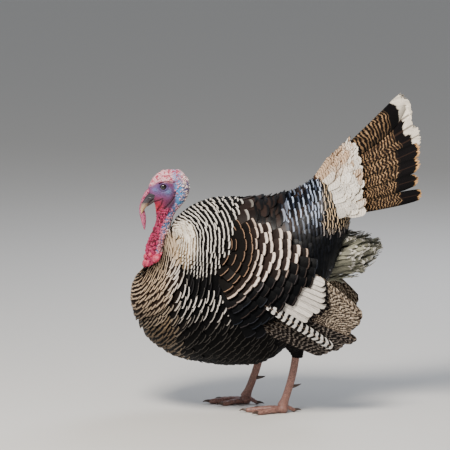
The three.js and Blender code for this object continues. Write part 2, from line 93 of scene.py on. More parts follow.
def add(tree, kind, inputs=None, output=0, stops=(), **settings):
    """Adds a shader node with its settings, its inputs and a ramp's (place, hex) stops, and gives one output."""
    made = tree.nodes.new("ShaderNode" + kind)
    for name, value in settings.items():
        setattr(made, name, value)
    fill(tree, made, inputs or {})
    for _ in stops[2:]:
        made.color_ramp.elements.new(0.5)
    for k, (place, hex_code) in enumerate(stops):
        made.color_ramp.elements[k].position = place
        made.color_ramp.elements[k].color = colour(hex_code)
    return made.outputs[output]


def new_material(name, **shader):
    """A material of one Principled shader with constant sockets: gives it, its tree and the shader."""
    material = bpy.data.materials.new(name)
    material.use_nodes = True
    surface = material.node_tree.nodes["Principled BSDF"]
    fill(material.node_tree, surface, {socket.replace("_", " "): value for socket, value in shader.items()})
    return material, material.node_tree, surface


# %% [markdown]
# ## Surfaces
# Every shape here is a function of two parameters on a grid, worked out as whole arrays. A table gives a
# few sections by their real sizes in millimetres, and a smooth curve with no overshoot runs through them.


# %% Curves and grids
def through(table, at):
    """Rows of a table on a monotone cubic: slopes are harmonic means of the steps, 0 where they turn."""
    table = np.asarray(table, float)
    at = np.clip(np.asarray(at, float), 0, len(table) - 1)
    cell = np.minimum(at.astype(int), len(table) - 2)
    t = (at - cell)[..., None]
    step = np.diff(table, axis=0)
    both = step[:-1] * step[1:]
    inner = np.where(both > 0, 2 * both / np.where(both > 0, step[:-1] + step[1:], 1), 0)
    slope = np.vstack([step[:1], inner, step[-1:]])
    return (table[cell] * (2 * t**3 - 3 * t**2 + 1) + table[cell + 1] * (3 * t**2 - 2 * t**3)
            + slope[cell] * (t**3 - 2 * t**2 + t) + slope[cell + 1] * (t**3 - t**2))


def smooth_step(low, high, value):
    """0 below low, 1 above high, 3t² - 2t³ between."""
    t = np.clip((value - low) / (high - low), 0, 1)
    return t * t * (3 - 2 * t)


def hump(distance, width):
    """1 at distance 0 and 1/e at width: exp(-(distance / width)²)."""
    return np.exp(-(distance / width) ** 2)


def grid_quads(rows, columns, wrap=False):
    """Quads of a rows by columns grid of points; wrap joins the last column to the first."""
    across = columns if wrap else columns - 1
    i, j = np.meshgrid(np.arange(rows - 1), np.arange(across), indexing="ij")
    a = (i * columns + j).ravel()
    b = (i * columns + (j + 1) % columns).ravel()
    return np.stack([a, b, b + columns, a + columns], axis=1)


# %% [markdown]
# ### Making a piece
# One function turns points and quads into a mesh at the origin, hangs it on the frame's root and hides the
# solids that it replaces. Rings that close on themselves need a cap at each end, made of thin quads.

# %% Pieces from points
def build(name, points, quads, materials, slot, replaced=(), attributes=None, bake=None):
    """Makes a piece from points in mm, quads, point attributes and an OFBake map, and rides it on the bird."""
    mesh = bpy.data.meshes.new(name)
    mesh.vertices.add(len(points))
    mesh.vertices.foreach_set("co", (np.asarray(points, float) * MM).ravel())
    mesh.loops.add(quads.size)
    mesh.loops.foreach_set("vertex_index", quads.ravel())
    mesh.polygons.add(len(quads))
    mesh.polygons.foreach_set("loop_start", np.arange(0, quads.size, 4))
    mesh.polygons.foreach_set("use_smooth", np.ones(len(quads), bool))
    mesh.update(calc_edges=True)
    for label, values in (attributes or {}).items():
        values = np.asarray(values, float)
        width = 1 if values.ndim == 1 else values.shape[1]
        kind, key = {1: ("FLOAT", "value"), 3: ("FLOAT_VECTOR", "vector"), 4: ("FLOAT_COLOR", "color")}[width]
        mesh.attributes.new(label, kind, "POINT").data.foreach_set(key, values.ravel())
    if bake is not None:
        mesh.uv_layers.new(name="OFBake").data.foreach_set("uv", bake[quads.ravel()].ravel())
    for material in materials:
        mesh.materials.append(material)
    mesh.validate()
    piece = bpy.data.objects.new(name, mesh)
    bpy.context.collection.objects.link(piece)
    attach(piece, "root")
    if replaced:
        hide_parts(*replaced)
    print(name, len(quads) * 2, "triangles")
    return piece


def closed_rings(rings, reverse=False):
    """Points and quads of wrapped rings, each end closed by quads to its middle; reverse turns every face."""
    rows, columns = rings.shape[:2]
    j, last = np.arange(0, columns, 2), (rows - 1) * columns
    start = np.stack([np.full(len(j), rows * columns), (j + 2) % columns, j + 1, j], axis=1)
    end = np.stack([np.full(len(j), rows * columns + 1), last + j, last + j + 1, last + (j + 2) % columns], axis=1)
    points = np.vstack([rings.reshape(-1, 3), rings[0].mean(axis=0), rings[-1].mean(axis=0)])
    quads = np.vstack([grid_quads(rows, columns, wrap=True), start, end])
    return points, quads[:, ::-1] if reverse else quads


def globe(rows, columns, gap):
    """A unit ball on a grid of polar angle and turn, open by a gap of the polar angle at each pole."""
    v = 2 * np.pi * np.arange(columns) / columns
    polar = np.linspace(gap, np.pi - gap, rows)[:, None]
    return np.stack([np.sin(polar) * np.cos(v), np.sin(polar) * np.sin(v), np.cos(polar) + 0 * v], axis=-1), polar, v


# %% [markdown]
# ## The body's form
# A turkey's feathers grow in rings that start round the foot of the neck and tip over as they go back,
# until they stand upright round the rump. So the body is a stack of such rings. Each row below gives the
# upper and the under point of one ring in the bird's middle plane, and half its width.

# %% Body rings
# columns: upper x, upper z, under x, under z, half width, how far the sides bow back; all to the feather tips
BODY_RINGS = [
    (-280, 381, -320, 361, 25, 0), (-279, 391, -334, 348, 47, 8), (-277, 404, -348, 331, 68, 18),
    (-275, 419, -357, 306, 90, 32), (-270, 437, -358, 277, 110, 48), (-261, 457, -351, 244, 127, 65),
    (-246, 480, -338, 213, 142, 82), (-221, 503, -316, 182, 152, 96), (-186, 522, -285, 157, 158, 102),
    (-136, 534, -241, 135, 160, 98), (-74, 534, -186, 124, 160, 88), (-16, 533, -122, 116, 155, 78),
    (34, 548, -54, 117, 142, 64), (74, 566, 20, 158, 122, 48), (109, 588, 73, 224, 98, 34),
    (141, 600, 117, 306, 76, 22), (171, 596, 154, 380, 52, 12), (188, 545, 183, 455, 18, 2),
]
RING_COUNT = len(BODY_RINGS) - 1


def body_surface(u, turn):
    """Ring u: middle + arm (cos turn - sag sin² turn), bowed back at the sides; -Y for turn 0 to pi."""
    u, turn = np.broadcast_arrays(np.asarray(u, float), np.asarray(turn, float))
    row = through(BODY_RINGS, u)
    middle_x, middle_z = (row[..., 0] + row[..., 2]) / 2, (row[..., 1] + row[..., 3]) / 2
    arm_x, arm_z = (row[..., 0] - row[..., 2]) / 2, (row[..., 1] - row[..., 3]) / 2
    side = np.sin(turn) ** 2
    along = np.cos(turn) - 0.16 * side
    y = -row[..., 4] * np.sign(np.sin(turn)) * np.abs(np.sin(turn)) ** 0.94
    return np.stack([middle_x + arm_x * along + row[..., 5] * side, y, middle_z + arm_z * along], axis=-1)


def drape(surface, u, v, rise):
    """The point at u, v of a surface, raised by rise along the unit cross product of its two slopes."""
    e = 1e-3
    across = surface(u, v + e) - surface(u, v - e)
    along = surface(u + e, v) - surface(u - e, v)
    face = np.cross(across, along)
    face /= np.maximum(np.linalg.norm(face, axis=-1, keepdims=True), 1e-12)
    return surface(u, v) + face * np.asarray(rise)[..., None]


print("body rings", RING_COUNT, "widest", 2 * max(r[4] for r in BODY_RINGS), "mm")

# %% [markdown]
# ## Head and neck
# The bare head and neck are level slices from the crown down. Each row gives the height of a slice, its
# foremost and hindmost point and half its width. The front of a slice is narrower than its back, as a
# bird's face is. Bill, eyes and snood are separate.

# %% Head and neck slices
# columns: z, front x, back x, half width
HEAD_SLICES = [
    (604.5, -268, -250, 5), (603, -277, -240, 11), (599, -285, -233, 16), (592, -296, -226, 20),
    (582, -305, -219, 23), (572, -311, -215, 24.5), (561, -315, -213.5, 25), (549, -316, -215, 25.5),
    (537, -311, -219, 26), (524, -302, -227, 25.5), (511, -297, -237, 24), (499, -295, -245, 22),
    (486, -294, -252, 20.5), (472, -298, -257, 20), (458, -303, -261, 20), (444, -309, -265, 20.5),
    (430, -315, -270, 21), (416, -320, -276, 21.5), (403, -321, -280, 22), (390, -319, -281, 23),
    (376, -319, -281, 25), (362, -320, -279, 27),
]
NECK_ROWS = len(HEAD_SLICES) - 1


def head_surface(u, turn):
    """Slice u from the crown down: an oval from front to back, narrower in front by a third of cos(turn)."""
    u, turn = np.broadcast_arrays(np.asarray(u, float), np.asarray(turn, float))
    row = through(HEAD_SLICES, u)
    middle, arm = (row[..., 1] + row[..., 2]) / 2, (row[..., 2] - row[..., 1]) / 2
    face = 0.30 * smooth_step(12, 8, u) * (1 - np.cos(turn)) / 2
    y = -row[..., 3] * np.sin(turn) * (1 - face)
    tilt = 6 * smooth_step(9, 12, u) * np.cos(turn)
    return np.stack([middle + arm * np.cos(turn), y, row[..., 0] + tilt], axis=-1)


EYE = np.array([-277.5, 15.8, 563.0])
EYE_BALL = 8.6
EAR = np.array([-250.0, 25.0, 575.0])
print("head and neck", NECK_ROWS, "slices, eyes", 2 * EYE[1], "mm apart")


def beads(points, faces, centres, radius, height):
    """Raises points off the skin by round caps: height sqrt(1 - (d / radius)²) of the highest cap over each."""
    rise = np.zeros(len(points))
    for chunk in np.array_split(np.arange(len(centres)), max(1, len(centres) // 40)):
        gap = np.linalg.norm(points[:, None] - centres[None, chunk], axis=2) / radius[None, chunk]
        cap = height[None, chunk] * np.sqrt(np.clip(1 - gap**2, 0, None))
        rise = np.maximum(rise, cap.max(axis=1))
    return points + faces * rise[:, None], rise


# %% [markdown]
# ## The skin
# The skin is one mesh. It starts at the crown, runs down the neck, flares over the shoulders and carries
# on under the feathers to the rump. The slices of the head and the rings of the body meet at the foot of
# the neck.

# %% Skin grid
rng = np.random.default_rng(7)
SKIN_COLUMNS = 200
# how deep the skin lies under the feather tips, in mm, and how far its last ring is drawn together
COAT_DEPTH, RUMP_DEPTH, RUMP_CLOSE = 13.0, 9, 0.3

turns = 2 * np.pi * np.arange(SKIN_COLUMNS) / SKIN_COLUMNS
head_u = np.concatenate([np.linspace(0, 3, 18, endpoint=False), np.linspace(3, 10, 96, endpoint=False),
                         np.linspace(10, NECK_ROWS - 1.2, 150)])
head_grid = head_surface(head_u[:, None], turns[None])
body_u = np.linspace(0.25, RING_COUNT, 64)
body_depth = COAT_DEPTH * smooth_step(0.0, 2.5, body_u)
body_depth[-1] = RUMP_DEPTH
body_grid = drape(body_surface, body_u[:, None], turns[None], -np.repeat(body_depth[:, None], SKIN_COLUMNS, 1))
last_middle = body_grid[-1].mean(axis=0)
body_grid[-1] = last_middle + RUMP_CLOSE * (body_grid[-1] - last_middle)
neck_count = head_grid.shape[0]
skin_grid = np.concatenate([head_grid, body_grid])


def grid_normals(grid):
    """Unit normals of a wrapped grid from its central differences."""
    across = np.roll(grid, -1, axis=1) - np.roll(grid, 1, axis=1)
    along = np.gradient(grid, axis=0)
    face = np.cross(across, along)
    return face / np.maximum(np.linalg.norm(face, axis=2, keepdims=True), 1e-9)


skin_faces = grid_normals(skin_grid)
print("skin grid", skin_grid.shape[0], "rows of", SKIN_COLUMNS)

# %% [markdown]
# ### Relief of the face
# The lids close in over the ball, the brow stands out above it, and soft folds ring it. Creases mark the
# mouth, the throat and the cheek's edge, and the ear is a small hole with a low rim. Each is a hump or a
# wave of the distance from a place in side view, and together they say how far a point leaves the skin.

# %% Places on the face
flat = skin_grid[:neck_count].reshape(-1, 3)
flat_faces = skin_faces[:neck_count].reshape(-1, 3)
flat_faces[:SKIN_COLUMNS] = (0, 0, 1)
behind_eye, above_eye = flat[:, 0] - EYE[0], flat[:, 2] - EYE[2]
eye_gap = np.hypot(behind_eye / 1.15, above_eye * 1.05)
eye_angle = np.arctan2(above_eye, behind_eye)
on_cheek = np.abs(flat[:, 1]) > 8
ear_gap = np.hypot(flat[:, 0] - EAR[0], flat[:, 2] - EAR[2])


def near_line(line, width):
    """exp(-(d / width)²), where d is the distance in side view from a line through (x, z) points."""
    line = np.asarray(line, float)
    start, run = line[:-1], np.diff(line, axis=0)
    gap = flat[:, None, ::2] - start
    share = np.clip((gap * run).sum(-1) / (run**2).sum(-1), 0, 1)
    distance = np.linalg.norm(gap - share[..., None] * run, axis=-1).min(axis=1)
    return hump(distance, width) * on_cheek


# lines in side view with their widths: mouth, throat fold, cheek edge, brow
CREASES = [([(-301, 524), (-291, 528), (-280, 533)], 1.5),
           ([(-279, 530), (-283, 519), (-291, 508), (-297, 499)], 1.6),
           ([(-276, 508), (-262, 521), (-251, 535), (-247, 550)], 1.8),
           ([(-288, 571), (-274, 577), (-257, 575)], 1.5)]
creases = np.maximum.reduce([near_line(line, width) for line, width in CREASES])
print("points in a crease", int((creases > 0.5).sum()))

# %% Relief
lid = 2.3 * hump(eye_gap - EYE_BALL, 1.6) - 4.0 * smooth_step(7.4, 5.6, eye_gap)
brow = 2.4 * hump(behind_eye + 1, 14) * hump(above_eye - 12.5, 3.5)
ring_folds = 0.5 * np.sin(eye_gap * 1.9) * smooth_step(9.5, 12, eye_gap) * smooth_step(20, 14, eye_gap)
fans = 0.7 * np.sin(eye_angle * 30) * smooth_step(12, 15, eye_gap) * smooth_step(27, 20, eye_gap)
fans = fans * smooth_step(-0.2, -0.7, eye_angle) * smooth_step(-2.9, -2.3, eye_angle)
cheek = 2.0 * hump(behind_eye - 10, 11) * hump(above_eye + 16, 9)
ear = 0.9 * hump(ear_gap - 4.8, 1.4) - 3.0 * hump(ear_gap, 2.6)
crown_ruck = 0.6 * np.sin(flat[:, 2] * 1.3 + 3.0 * np.sin(flat[:, 0] * 0.21) + 2 * np.sin(flat[:, 1] * 0.3))
crown_ruck = crown_ruck * smooth_step(566, 580, flat[:, 2]) * smooth_step(12, 16, eye_gap)
around = np.tile(turns, neck_count)
neck_folds = np.sin(12 * around + 1.5 * np.sin(flat[:, 2] * 0.07)) * smooth_step(505, 485, flat[:, 2])
neck_folds = neck_folds * smooth_step(2.0, 1.2, np.abs(around - np.pi))
rise = np.where(on_cheek, lid + brow + ring_folds + fans + cheek + ear, 0)
rise = rise + crown_ruck + neck_folds - 2.0 * creases
flat = flat + flat_faces * rise[:, None]
print("relief from", round(float(rise.min()), 1), "to", round(float(rise.max()), 1), "mm")

# %% [markdown]
# ### Warts and caruncles
# Warts are round caps on seeded centres, large and crowded low on the neck, small and few on the face. At
# the foot of the neck hang caruncles as big as grapes, which are lumpy balls of their own.

# %% Warts
HEAD_WARTS, NECK_WARTS = 1200, 1800
WARTS = HEAD_WARTS + NECK_WARTS
wart_u = np.concatenate([rng.uniform(1.0, 11, HEAD_WARTS), rng.uniform(9.3, NECK_ROWS, NECK_WARTS)])
wart_turn = rng.uniform(0, 2 * np.pi, WARTS)
wart_at = head_surface(wart_u, wart_turn)
behind = smooth_step(-266, -240, wart_at[:, 0])
low = smooth_step(10, 17, wart_u)
above = smooth_step(580, 592, wart_at[:, 2])
grown = np.clip(np.maximum.reduce([behind, low, 0.45 * above, smooth_step(9.3, 10.6, wart_u)]), 0.10, 1)
wart_radius = (1.3 + 1.7 * rng.random(WARTS) ** 2) * (0.85 + 0.35 * low + 0.15 * behind) * (0.5 + 0.5 * grown)
near_eye = np.hypot(wart_at[:, 0] - EYE[0] - 4, wart_at[:, 2] - EYE[2] + 6) < 24
keep = ~(near_eye & (np.abs(wart_at[:, 1]) > 8)) & (rng.random(WARTS) < 0.15 + 0.85 * grown)
wart_at, wart_radius = wart_at[keep], wart_radius[keep]
flat, wart_rise = beads(flat, flat_faces, wart_at, wart_radius, wart_radius * 0.9)
print("warts", len(wart_at), "of", round(float(wart_radius.min()), 1), "to", round(float(wart_radius.max()), 1), "mm")

# %% Large caruncles
# columns: x, distance from the middle plane, z, radius, height over width
KNOBS = [(-296, 25, 379, 13.2, 1.0), (-316, 13, 366, 8.8, 1.25), (-322, 4, 384, 6.5, 1.2), (-312, 19, 389, 6, 1.1),
         (-324, 1, 367, 7.5, 1.3), (-307, 21, 363, 6, 1.0), (-284, 25, 391, 5.5, 1.0)]
knobs = np.array(KNOBS + [(x + 1.5, -y, z + 3, r, h) for x, y, z, r, h in KNOBS], float)
ball, polar, v = globe(20, 28, 0.06)
lumps = 1 + 0.07 * np.sin(5 * v + 3 * polar) * np.sin(4 * polar)
knob_rings = [k[:3] + ball * lumps[..., None] * k[3] * np.array([1, 1, k[4]]) for k in knobs]

skin_points = np.concatenate([flat.reshape(neck_count, SKIN_COLUMNS, 3), skin_grid[neck_count:]])
print("caruncles", len(knobs))

# %% [markdown]
# ## Legs and feet
# A tom's shanks are strong and scaled, each with a spur on the inner back face. The toes are padded
# between their joints and press flat on the ground. Shank, foot and toes are tubes along short paths.

# %% Tubes
def tube(path, radii, columns, flat_floor=False, hint=None):
    """Rings of radii (side, height) about a path of points: P + side cos v + up sin v, with up kept near hint."""
    path = np.asarray(path, float)
    radii = np.asarray(radii, float)
    along = np.gradient(path, axis=0)
    along /= np.linalg.norm(along, axis=1, keepdims=True)
    steep = np.abs(along[:, 2]).mean() > 0.8
    sideways = np.cross(along, hint or ((1.0, 0, 0) if steep else (0, 0, 1.0)))
    sideways /= np.linalg.norm(sideways, axis=1, keepdims=True)
    up = np.cross(sideways, along)
    v = 2 * np.pi * np.arange(columns) / columns
    rings = (path[:, None] + sideways[:, None] * (radii[:, 0, None] * np.cos(v))[..., None]
             + up[:, None] * (radii[:, 1, None] * np.sin(v))[..., None])
    if flat_floor:
        rings[..., 2] = np.maximum(rings[..., 2], 0)
    return rings


def closed_tube(rings):
    """Points and quads of a tube's rings, faces outward, with both ends closed."""
    return closed_rings(rings, reverse=True)


# %% [markdown]
# ### Leg shapes
# Hock and foot of the left leg stand behind those of the right one, in a short stride. Scales are low
# steps down the front of the shank and on top of the toes, three to five millimetres apart.

# %% Leg sizes
LEGS = {
    "left": {"sign": -1, "hock": (56, -61, 150), "foot": (20, -64, 13)},
    "right": {"sign": 1, "hock": (-26, 61, 150), "foot": (-72, 60, 13)},
}
SHANK_RADIUS = 8.5
# angle from straight ahead, length and root radius of each toe
TOES = {"middle": (0.04, 92, 9.5), "inner": (0.52, 68, 8.5), "outer": (-0.5, 72, 8.5), "rear": (2.75, 34, 6.5)}
TOE_JOINTS = (0.30, 0.58, 0.82)
SHANK_SCALES, TOE_SCALES = 34, 20
print("toes", len(LEGS) * len(TOES), "scales", SHANK_SCALES, "on a shank and", TOE_SCALES, "on a toe")

# %% Leg shapes
def shank_tube(hock, foot):
    """From above the hock to the foot: thicker at both ends, bowed back, with small steps for the scales."""
    t = np.linspace(0, 1, 110)[:, None]
    swell = 0.42 * hump(t, 0.10) + 0.40 * hump(1 - t, 0.08)
    radius = SHANK_RADIUS * (1 + swell) + 0.55 * (1 - (t * SHANK_SCALES) % 1) - 0.2
    top, low = hock + (0, 0, 22), foot + (0, 0, 4)
    path = top + (low - top) * t + np.sin(np.pi * t) * (6, 0, 0)
    return closed_tube(tube(path, radius * (0.9, 1.12), 28))


def foot_pad(foot):
    """The pad where the toes meet: rings along x whose radius follows a circle, flat on the floor."""
    t = np.linspace(0, 1, 14)[:, None]
    radius = 15 * np.sqrt(np.clip(1 - (2 * t - 1) ** 2, 0.01, 1))
    path = foot * (1, 1, 0) + np.hstack([30 * (t - 0.5), 0 * t, 0 * t + 11])
    return closed_tube(tube(path, radius * (1, 0.85), 24, True))


def toe_and_claw(foot, sign, name):
    """One toe, thicker at its joints and stepped for its scales, and the curved cone of its claw."""
    angle, length, r = TOES[name]
    ahead = np.array([-math.cos(angle), -sign * math.sin(angle), 0])
    s = np.linspace(0, 1, 60)[:, None]
    joints = sum(0.16 * hump(s - joint, 0.07) for joint in TOE_JOINTS)
    thick = r * (1 - 0.34 * s) * (1 + joints) * np.sqrt(np.clip((1.02 - s) / 0.06, 0.05, 1))
    thick = thick + 0.3 * (1 - (s * TOE_SCALES) % 1)
    start = 15 if name == "rear" else r * 0.95
    height = start + (r * 0.62 - start) * s + 3 * np.sin(np.pi * s) * (1 - s)
    path = foot * (1, 1, 0) + ahead * (4 + (length - 4) * s) + height * (0, 0, 1)
    toe = closed_tube(tube(path, thick * (0.95, 0.88), 20, True))
    c = np.linspace(0, 1, 16)[:, None]
    height = r * 0.62 + 4 * np.sin(2.4 * c) - 0.25 * r * c - 1.6 * c
    path = foot * (1, 1, 0) + ahead * (length - 5 + 22 * c) + height * (0, 0, 1)
    claw_radius = 4.3 * (1 - c) ** 0.7 + 0.3
    return toe, closed_tube(tube(path, claw_radius * (1, 1.1), 12, True))


def spur_tube(hock, foot, sign):
    """A curved cone on the inner back face of the shank."""
    c = np.linspace(0, 1, 18)[:, None]
    path = hock + (foot - hock) * 0.6 + np.hstack([6 + 26 * c, -sign * 8 * c, 5 * c**2 - 1])
    return closed_tube(tube(path, (5.4 * (1 - c) ** 0.8 + 0.5) * (1, 1), 16))


# %% Leg forms
leg_soft, horn_parts = [], {}
for side, leg in LEGS.items():
    hock, foot = np.array(leg["hock"], float), np.array(leg["foot"], float)
    leg_soft += [shank_tube(hock, foot), foot_pad(foot)]
    for name in TOES:
        toe, claw = toe_and_claw(foot, leg["sign"], name)
        leg_soft.append(toe)
        horn_parts[f"claw_{side}_{name}"] = claw
    horn_parts[f"spur_{side}"] = spur_tube(hock, foot, leg["sign"])
print("leg forms", len(leg_soft), "claws and spurs", len(horn_parts))

# %% [markdown]
# ### Thighs
# The thigh is a short cone of muscle from the belly to the hock, wrapped in black feathers. The left one
# shows below the wing; the right one lies mostly inside the belly's outline.

# %% Thigh surfaces
# columns: x, distance from the middle plane, z, radius to the feather tips
THIGH_PATHS = {
    "left": [(0, 66, 262, 60), (14, 66, 232, 53), (28, 65, 204, 44), (42, 63, 178, 31), (53, 61, 158, 18),
             (57, 61, 140, 11)],
    "right": [(-50, 66, 262, 60), (-46, 66, 232, 54), (-41, 65, 204, 46), (-34, 63, 178, 34), (-28, 61, 156, 20),
              (-28, 61, 140, 11)],
}


def thigh_surface(side):
    """A cone of level rings about the path of one thigh; v turns round it and u runs down it."""
    def surface(u, v):
        u, v = np.broadcast_arrays(np.asarray(u, float), np.asarray(v, float))
        row = through(THIGH_PATHS[side], u)
        sign = LEGS[side]["sign"]
        return np.stack([row[..., 0] + row[..., 3] * np.cos(v),
                         sign * row[..., 1] + row[..., 3] * np.sin(v), row[..., 2]], axis=-1)
    return surface


thigh_skin = []
for side_name in THIGH_PATHS:
    u = np.linspace(0.3, 5, 16)
    ring = drape(thigh_surface(side_name), u[:, None], turns[None, ::5], np.full((16, SKIN_COLUMNS // 5), 0.0))
    middle = ring.mean(axis=1, keepdims=True)
    depth = 10 * smooth_step(4.6, 3.2, u)[:, None, None]
    away = ring - middle
    ring = middle + away * (1 - depth / np.maximum(np.linalg.norm(away, axis=2, keepdims=True), 1))
    thigh_skin.append(closed_rings(ring))
print("thighs", len(thigh_skin), "from", THIGH_PATHS["left"][0][2], "to", THIGH_PATHS["left"][-1][2], "mm high")

# %% [markdown]
# ## Colours of the bare skin
# A tom's head changes colour with its mood. Here the crown is whitish pink with red creases, the face
# round the eye violet blue, the back of the head and nape sky blue under whitish warts, and the front of
# the neck crimson. Blue shows between the warts and pale pink on their tops, so wart height drives both.

# %% Skin colours
PALETTE = {
    "crown": "E8B2BC", "lilac": "755A90", "lid": "4A3A66", "blue": "4F9AD0", "crimson": "7E0E30",
    "deep red": "45081A", "painted shade": "2C0D18", "magenta": "78264A", "throat": "E0141E", "red fold": "9E1A33",
    "pink wart": "F0A2AC", "white wart": "FBE4DC", "rose wart": "B23060", "grape": "C84A66",
    "hidden": "7A1C34", "plum": "4A2440"}


def layered(count, base, layers):
    """count rows of a base hex colour with layers (hex, weights) laid over: colour += (layer - colour) weight."""
    rows = np.tile(colour(base), (count, 1))
    for hex_code, weight in layers:
        rows = rows + (np.array(colour(hex_code)) - rows) * np.clip(weight, 0, 1)[:, None]
    return rows


def spot(x, z, reach_x, reach_z):
    """A soft oval patch on both sides of the head."""
    return hump(X - x, reach_x) * hump(Z - z, reach_z)


X, _, Z = flat.T
# The blue shows in a strip from behind the ear down the side of the neck; warts crowd behind it.
strip_x = np.interp(Z, [390, 410, 432, 458, 480, 503, 525, 554, 585],
                    [-291, -288, -280, -275, -266, -251, -237, -237, -244])
strip = np.exp(-np.abs((X - strip_x) / np.interp(Z, [390, 500, 560], [6.5, 9.5, 11])) ** 4)
rear = smooth_step(-1, 9, X - strip_x)
top = smooth_step(0, 12, Z - np.interp(X, [-325, -305, -290], [556, 560, 570]))
high = np.clip(wart_rise / 1.5, 0, 1)
valley = smooth_step(0.7, 0.0, wart_rise)
paint = layered(len(X), PALETTE["crimson"], [(PALETTE[name], weight) for name, weight in (
    ("magenta", 0.8 * smooth_step(500, 520, Z)),
    ("deep red", 0.85 * valley * smooth_step(525, 500, Z)),
    ("lilac", 1.25 * spot(-284, 557, 30, 17)),
    ("blue", 0.6 * spot(-264, 551, 10, 8) + 0.35 * spot(-298, 556, 7, 4)),
    ("lilac", 0.5 * spot(-262, 540, 11, 9)),
    ("plum", 0.9 * spot(-262, 520, 14, 15) + 0.7 * spot(-252, 545, 8, 30)),
    ("crown", top * 0.9),
    ("blue", strip * (0.95 - 0.3 * top)),
    ("blue", rear * (0.75 - 0.4 * smooth_step(515, 535, Z) - 0.3 * top) * smooth_step(385, 400, Z)),
    ("red fold", 1.1 * spot(-290, 516, 9, 12)),
    ("throat", 1.1 * spot(-299, 507, 5.5, 9)),
    ("lid", 0.85 * hump(eye_gap - 9.5, 2.2)),
    ("rose wart", high * 0.75 * (1 - rear) * smooth_step(530, 505, Z)),
    ("rose wart", high * 0.6 * (1 - rear) * smooth_step(520, 540, Z) * smooth_step(-272, -262, X)),
    ("white wart", high * rear * 0.95),
    ("pink wart", smooth_step(0.5, 1, high) * 0.7 * strip),
    # painted shade: dark maroon in the creases, in the ear hole and in the valleys of the folds round the eye
    ("painted shade", 0.85 * creases),
    ("painted shade", 0.9 * hump(ear_gap, 3) * on_cheek),
    ("painted shade", 0.5 * smooth_step(0, -0.5, fans + ring_folds)))])
wrinkle = np.clip(1.3 * spot(-282, 555, 30, 19) + 0.8 * spot(-262, 534, 14, 13), 0, 1)
wrinkle = wrinkle * smooth_step(9.5, 12, eye_gap)
paint = np.clip(paint, 0, 1)
blotch = np.clip(top * (0.9 - 0.3 * rear) + 0.5 * spot(-318, 560, 8, 20) + 0.25 * smooth_step(500, 470, Z), 0, 1)
print("painted", len(paint), "points of bare skin")

# %% [markdown]
# ## Materials of the bare parts
# Living skin is waxy and lets a little light in, so it has some subsurface scattering and a soft gloss.
# Fine pores of under a millimetre break the gloss. Leg scales are pinkish brown horn, claws are darker.

# %% Skin material
SKIN_IOR = 1.42
HORN_IOR = 1.54


def surface_noise(tree, size_mm, detail=3.0, distortion=0.0, stretch=(1, 1, 1)):
    """Noise on object coordinates with cells of about size_mm."""
    place = add(tree, "Mapping", {0: add(tree, "TexCoord", output="Object"), "Scale": stretch})
    return add(tree, "TexNoise", {"Vector": place, "Scale": 1 / (size_mm * MM), "Detail": detail,
                                  "Distortion": distortion})


# Bare skin: the painted colours, mottled, waxy and moist enough for small highlights on every wart.
skin_material, tree, surface = new_material(
    "bare warty skin", Roughness=0.42, IOR=SKIN_IOR, Subsurface_Weight=0.12, Subsurface_Scale=0.004,
    Subsurface_Radius=(1.0, 0.35, 0.25))
painted = add(tree, "Attribute", output="Color", attribute_name="paint")
blotched = add(tree, "Attribute", output="Fac", attribute_name="blotch")
wrinkled = add(tree, "Attribute", output="Fac", attribute_name="wrinkle")
# red patches of six millimetres, where the blotch value allows them
patches = add(tree, "MapRange", {"Value": surface_noise(tree, 6.5, 1.0), "From Min": 0.50, "From Max": 0.60})
patched = add(tree, "Math", {0: patches, 1: blotched}, operation="MULTIPLY")
painted = add(tree, "Mix", {0: patched, 6: painted, 7: colour("A81C44")}, output=2, data_type="RGBA")
# dark wrinkles of four millimetres: the lines where a noise crosses its middle value
ridges = surface_noise(tree, 4.0, 1.0, 0.6, stretch=(1, 1, 1.6))
off_ridge = add(tree, "Math", {0: ridges, 1: 0.5}, operation="SUBTRACT")
off_ridge = add(tree, "Math", {0: off_ridge}, operation="ABSOLUTE")
line = add(tree, "MapRange", {"Value": off_ridge, "From Max": 0.035, "To Min": 0.75, "To Max": 0.0})
line = add(tree, "Math", {0: line, 1: wrinkled}, operation="MULTIPLY")
painted = add(tree, "Mix", {0: line, 6: painted, 7: colour("4A2C55")}, output=2, data_type="RGBA")
# a mottle of two millimetres, and pores that break the gloss
shade = add(tree, "MapRange", {"Value": surface_noise(tree, 2.2), "From Min": 0.3, "From Max": 0.7,
                               "To Min": 0.62, "To Max": 1.18})
shaded = add(tree, "VectorMath", {0: painted, 1: shade}, operation="MULTIPLY")
pores = add(tree, "Bump", {"Height": surface_noise(tree, 0.9), "Distance": 0.25 * MM})
fill(tree, surface, {"Base Color": shaded, "Normal": pores})

# %% Leg, claw and hidden skin materials
# Hidden skin lies under the coat: painted dark as shade, so gaps between feathers stay dark.
under_coat_shade_material = new_material("skin under the coat, painted dark as shade", Base_Color=colour("17120F"), Roughness=0.9, IOR=SKIN_IOR)[0]

# Leg scales: dull reddish brown horn with paler scale faces and dark joints.
scale_material, tree, surface = new_material("leg scales", Roughness=0.45, IOR=HORN_IOR)
place = add(tree, "TexCoord", output="Object")
cells = add(tree, "TexVoronoi", {"Vector": place, "Scale": 1 / (4.0 * MM)}, output="Distance",
            feature="DISTANCE_TO_EDGE")
fill(tree, surface, {
    "Base Color": add(tree, "ValToRGB", {0: cells}, stops=[(0.0, "4A2F2A"), (0.10, "8C6358"), (0.6, "B08679")]),
    "Normal": add(tree, "Bump", {"Height": cells, "Distance": 0.8 * MM, "Strength": 0.7})})

# Claws and spurs: dark brown horn with a paler streaked grain.
claw_material, tree, surface = new_material("claw and spur horn", Roughness=0.32, IOR=HORN_IOR)
grain = surface_noise(tree, 6, stretch=(1, 1, 3))
fill(tree, surface, {"Base Color": add(tree, "ValToRGB", {0: grain}, stops=[(0.3, "2E211B"), (0.7, "5C463A")])})
print("materials", [material.name for material in bpy.data.materials])

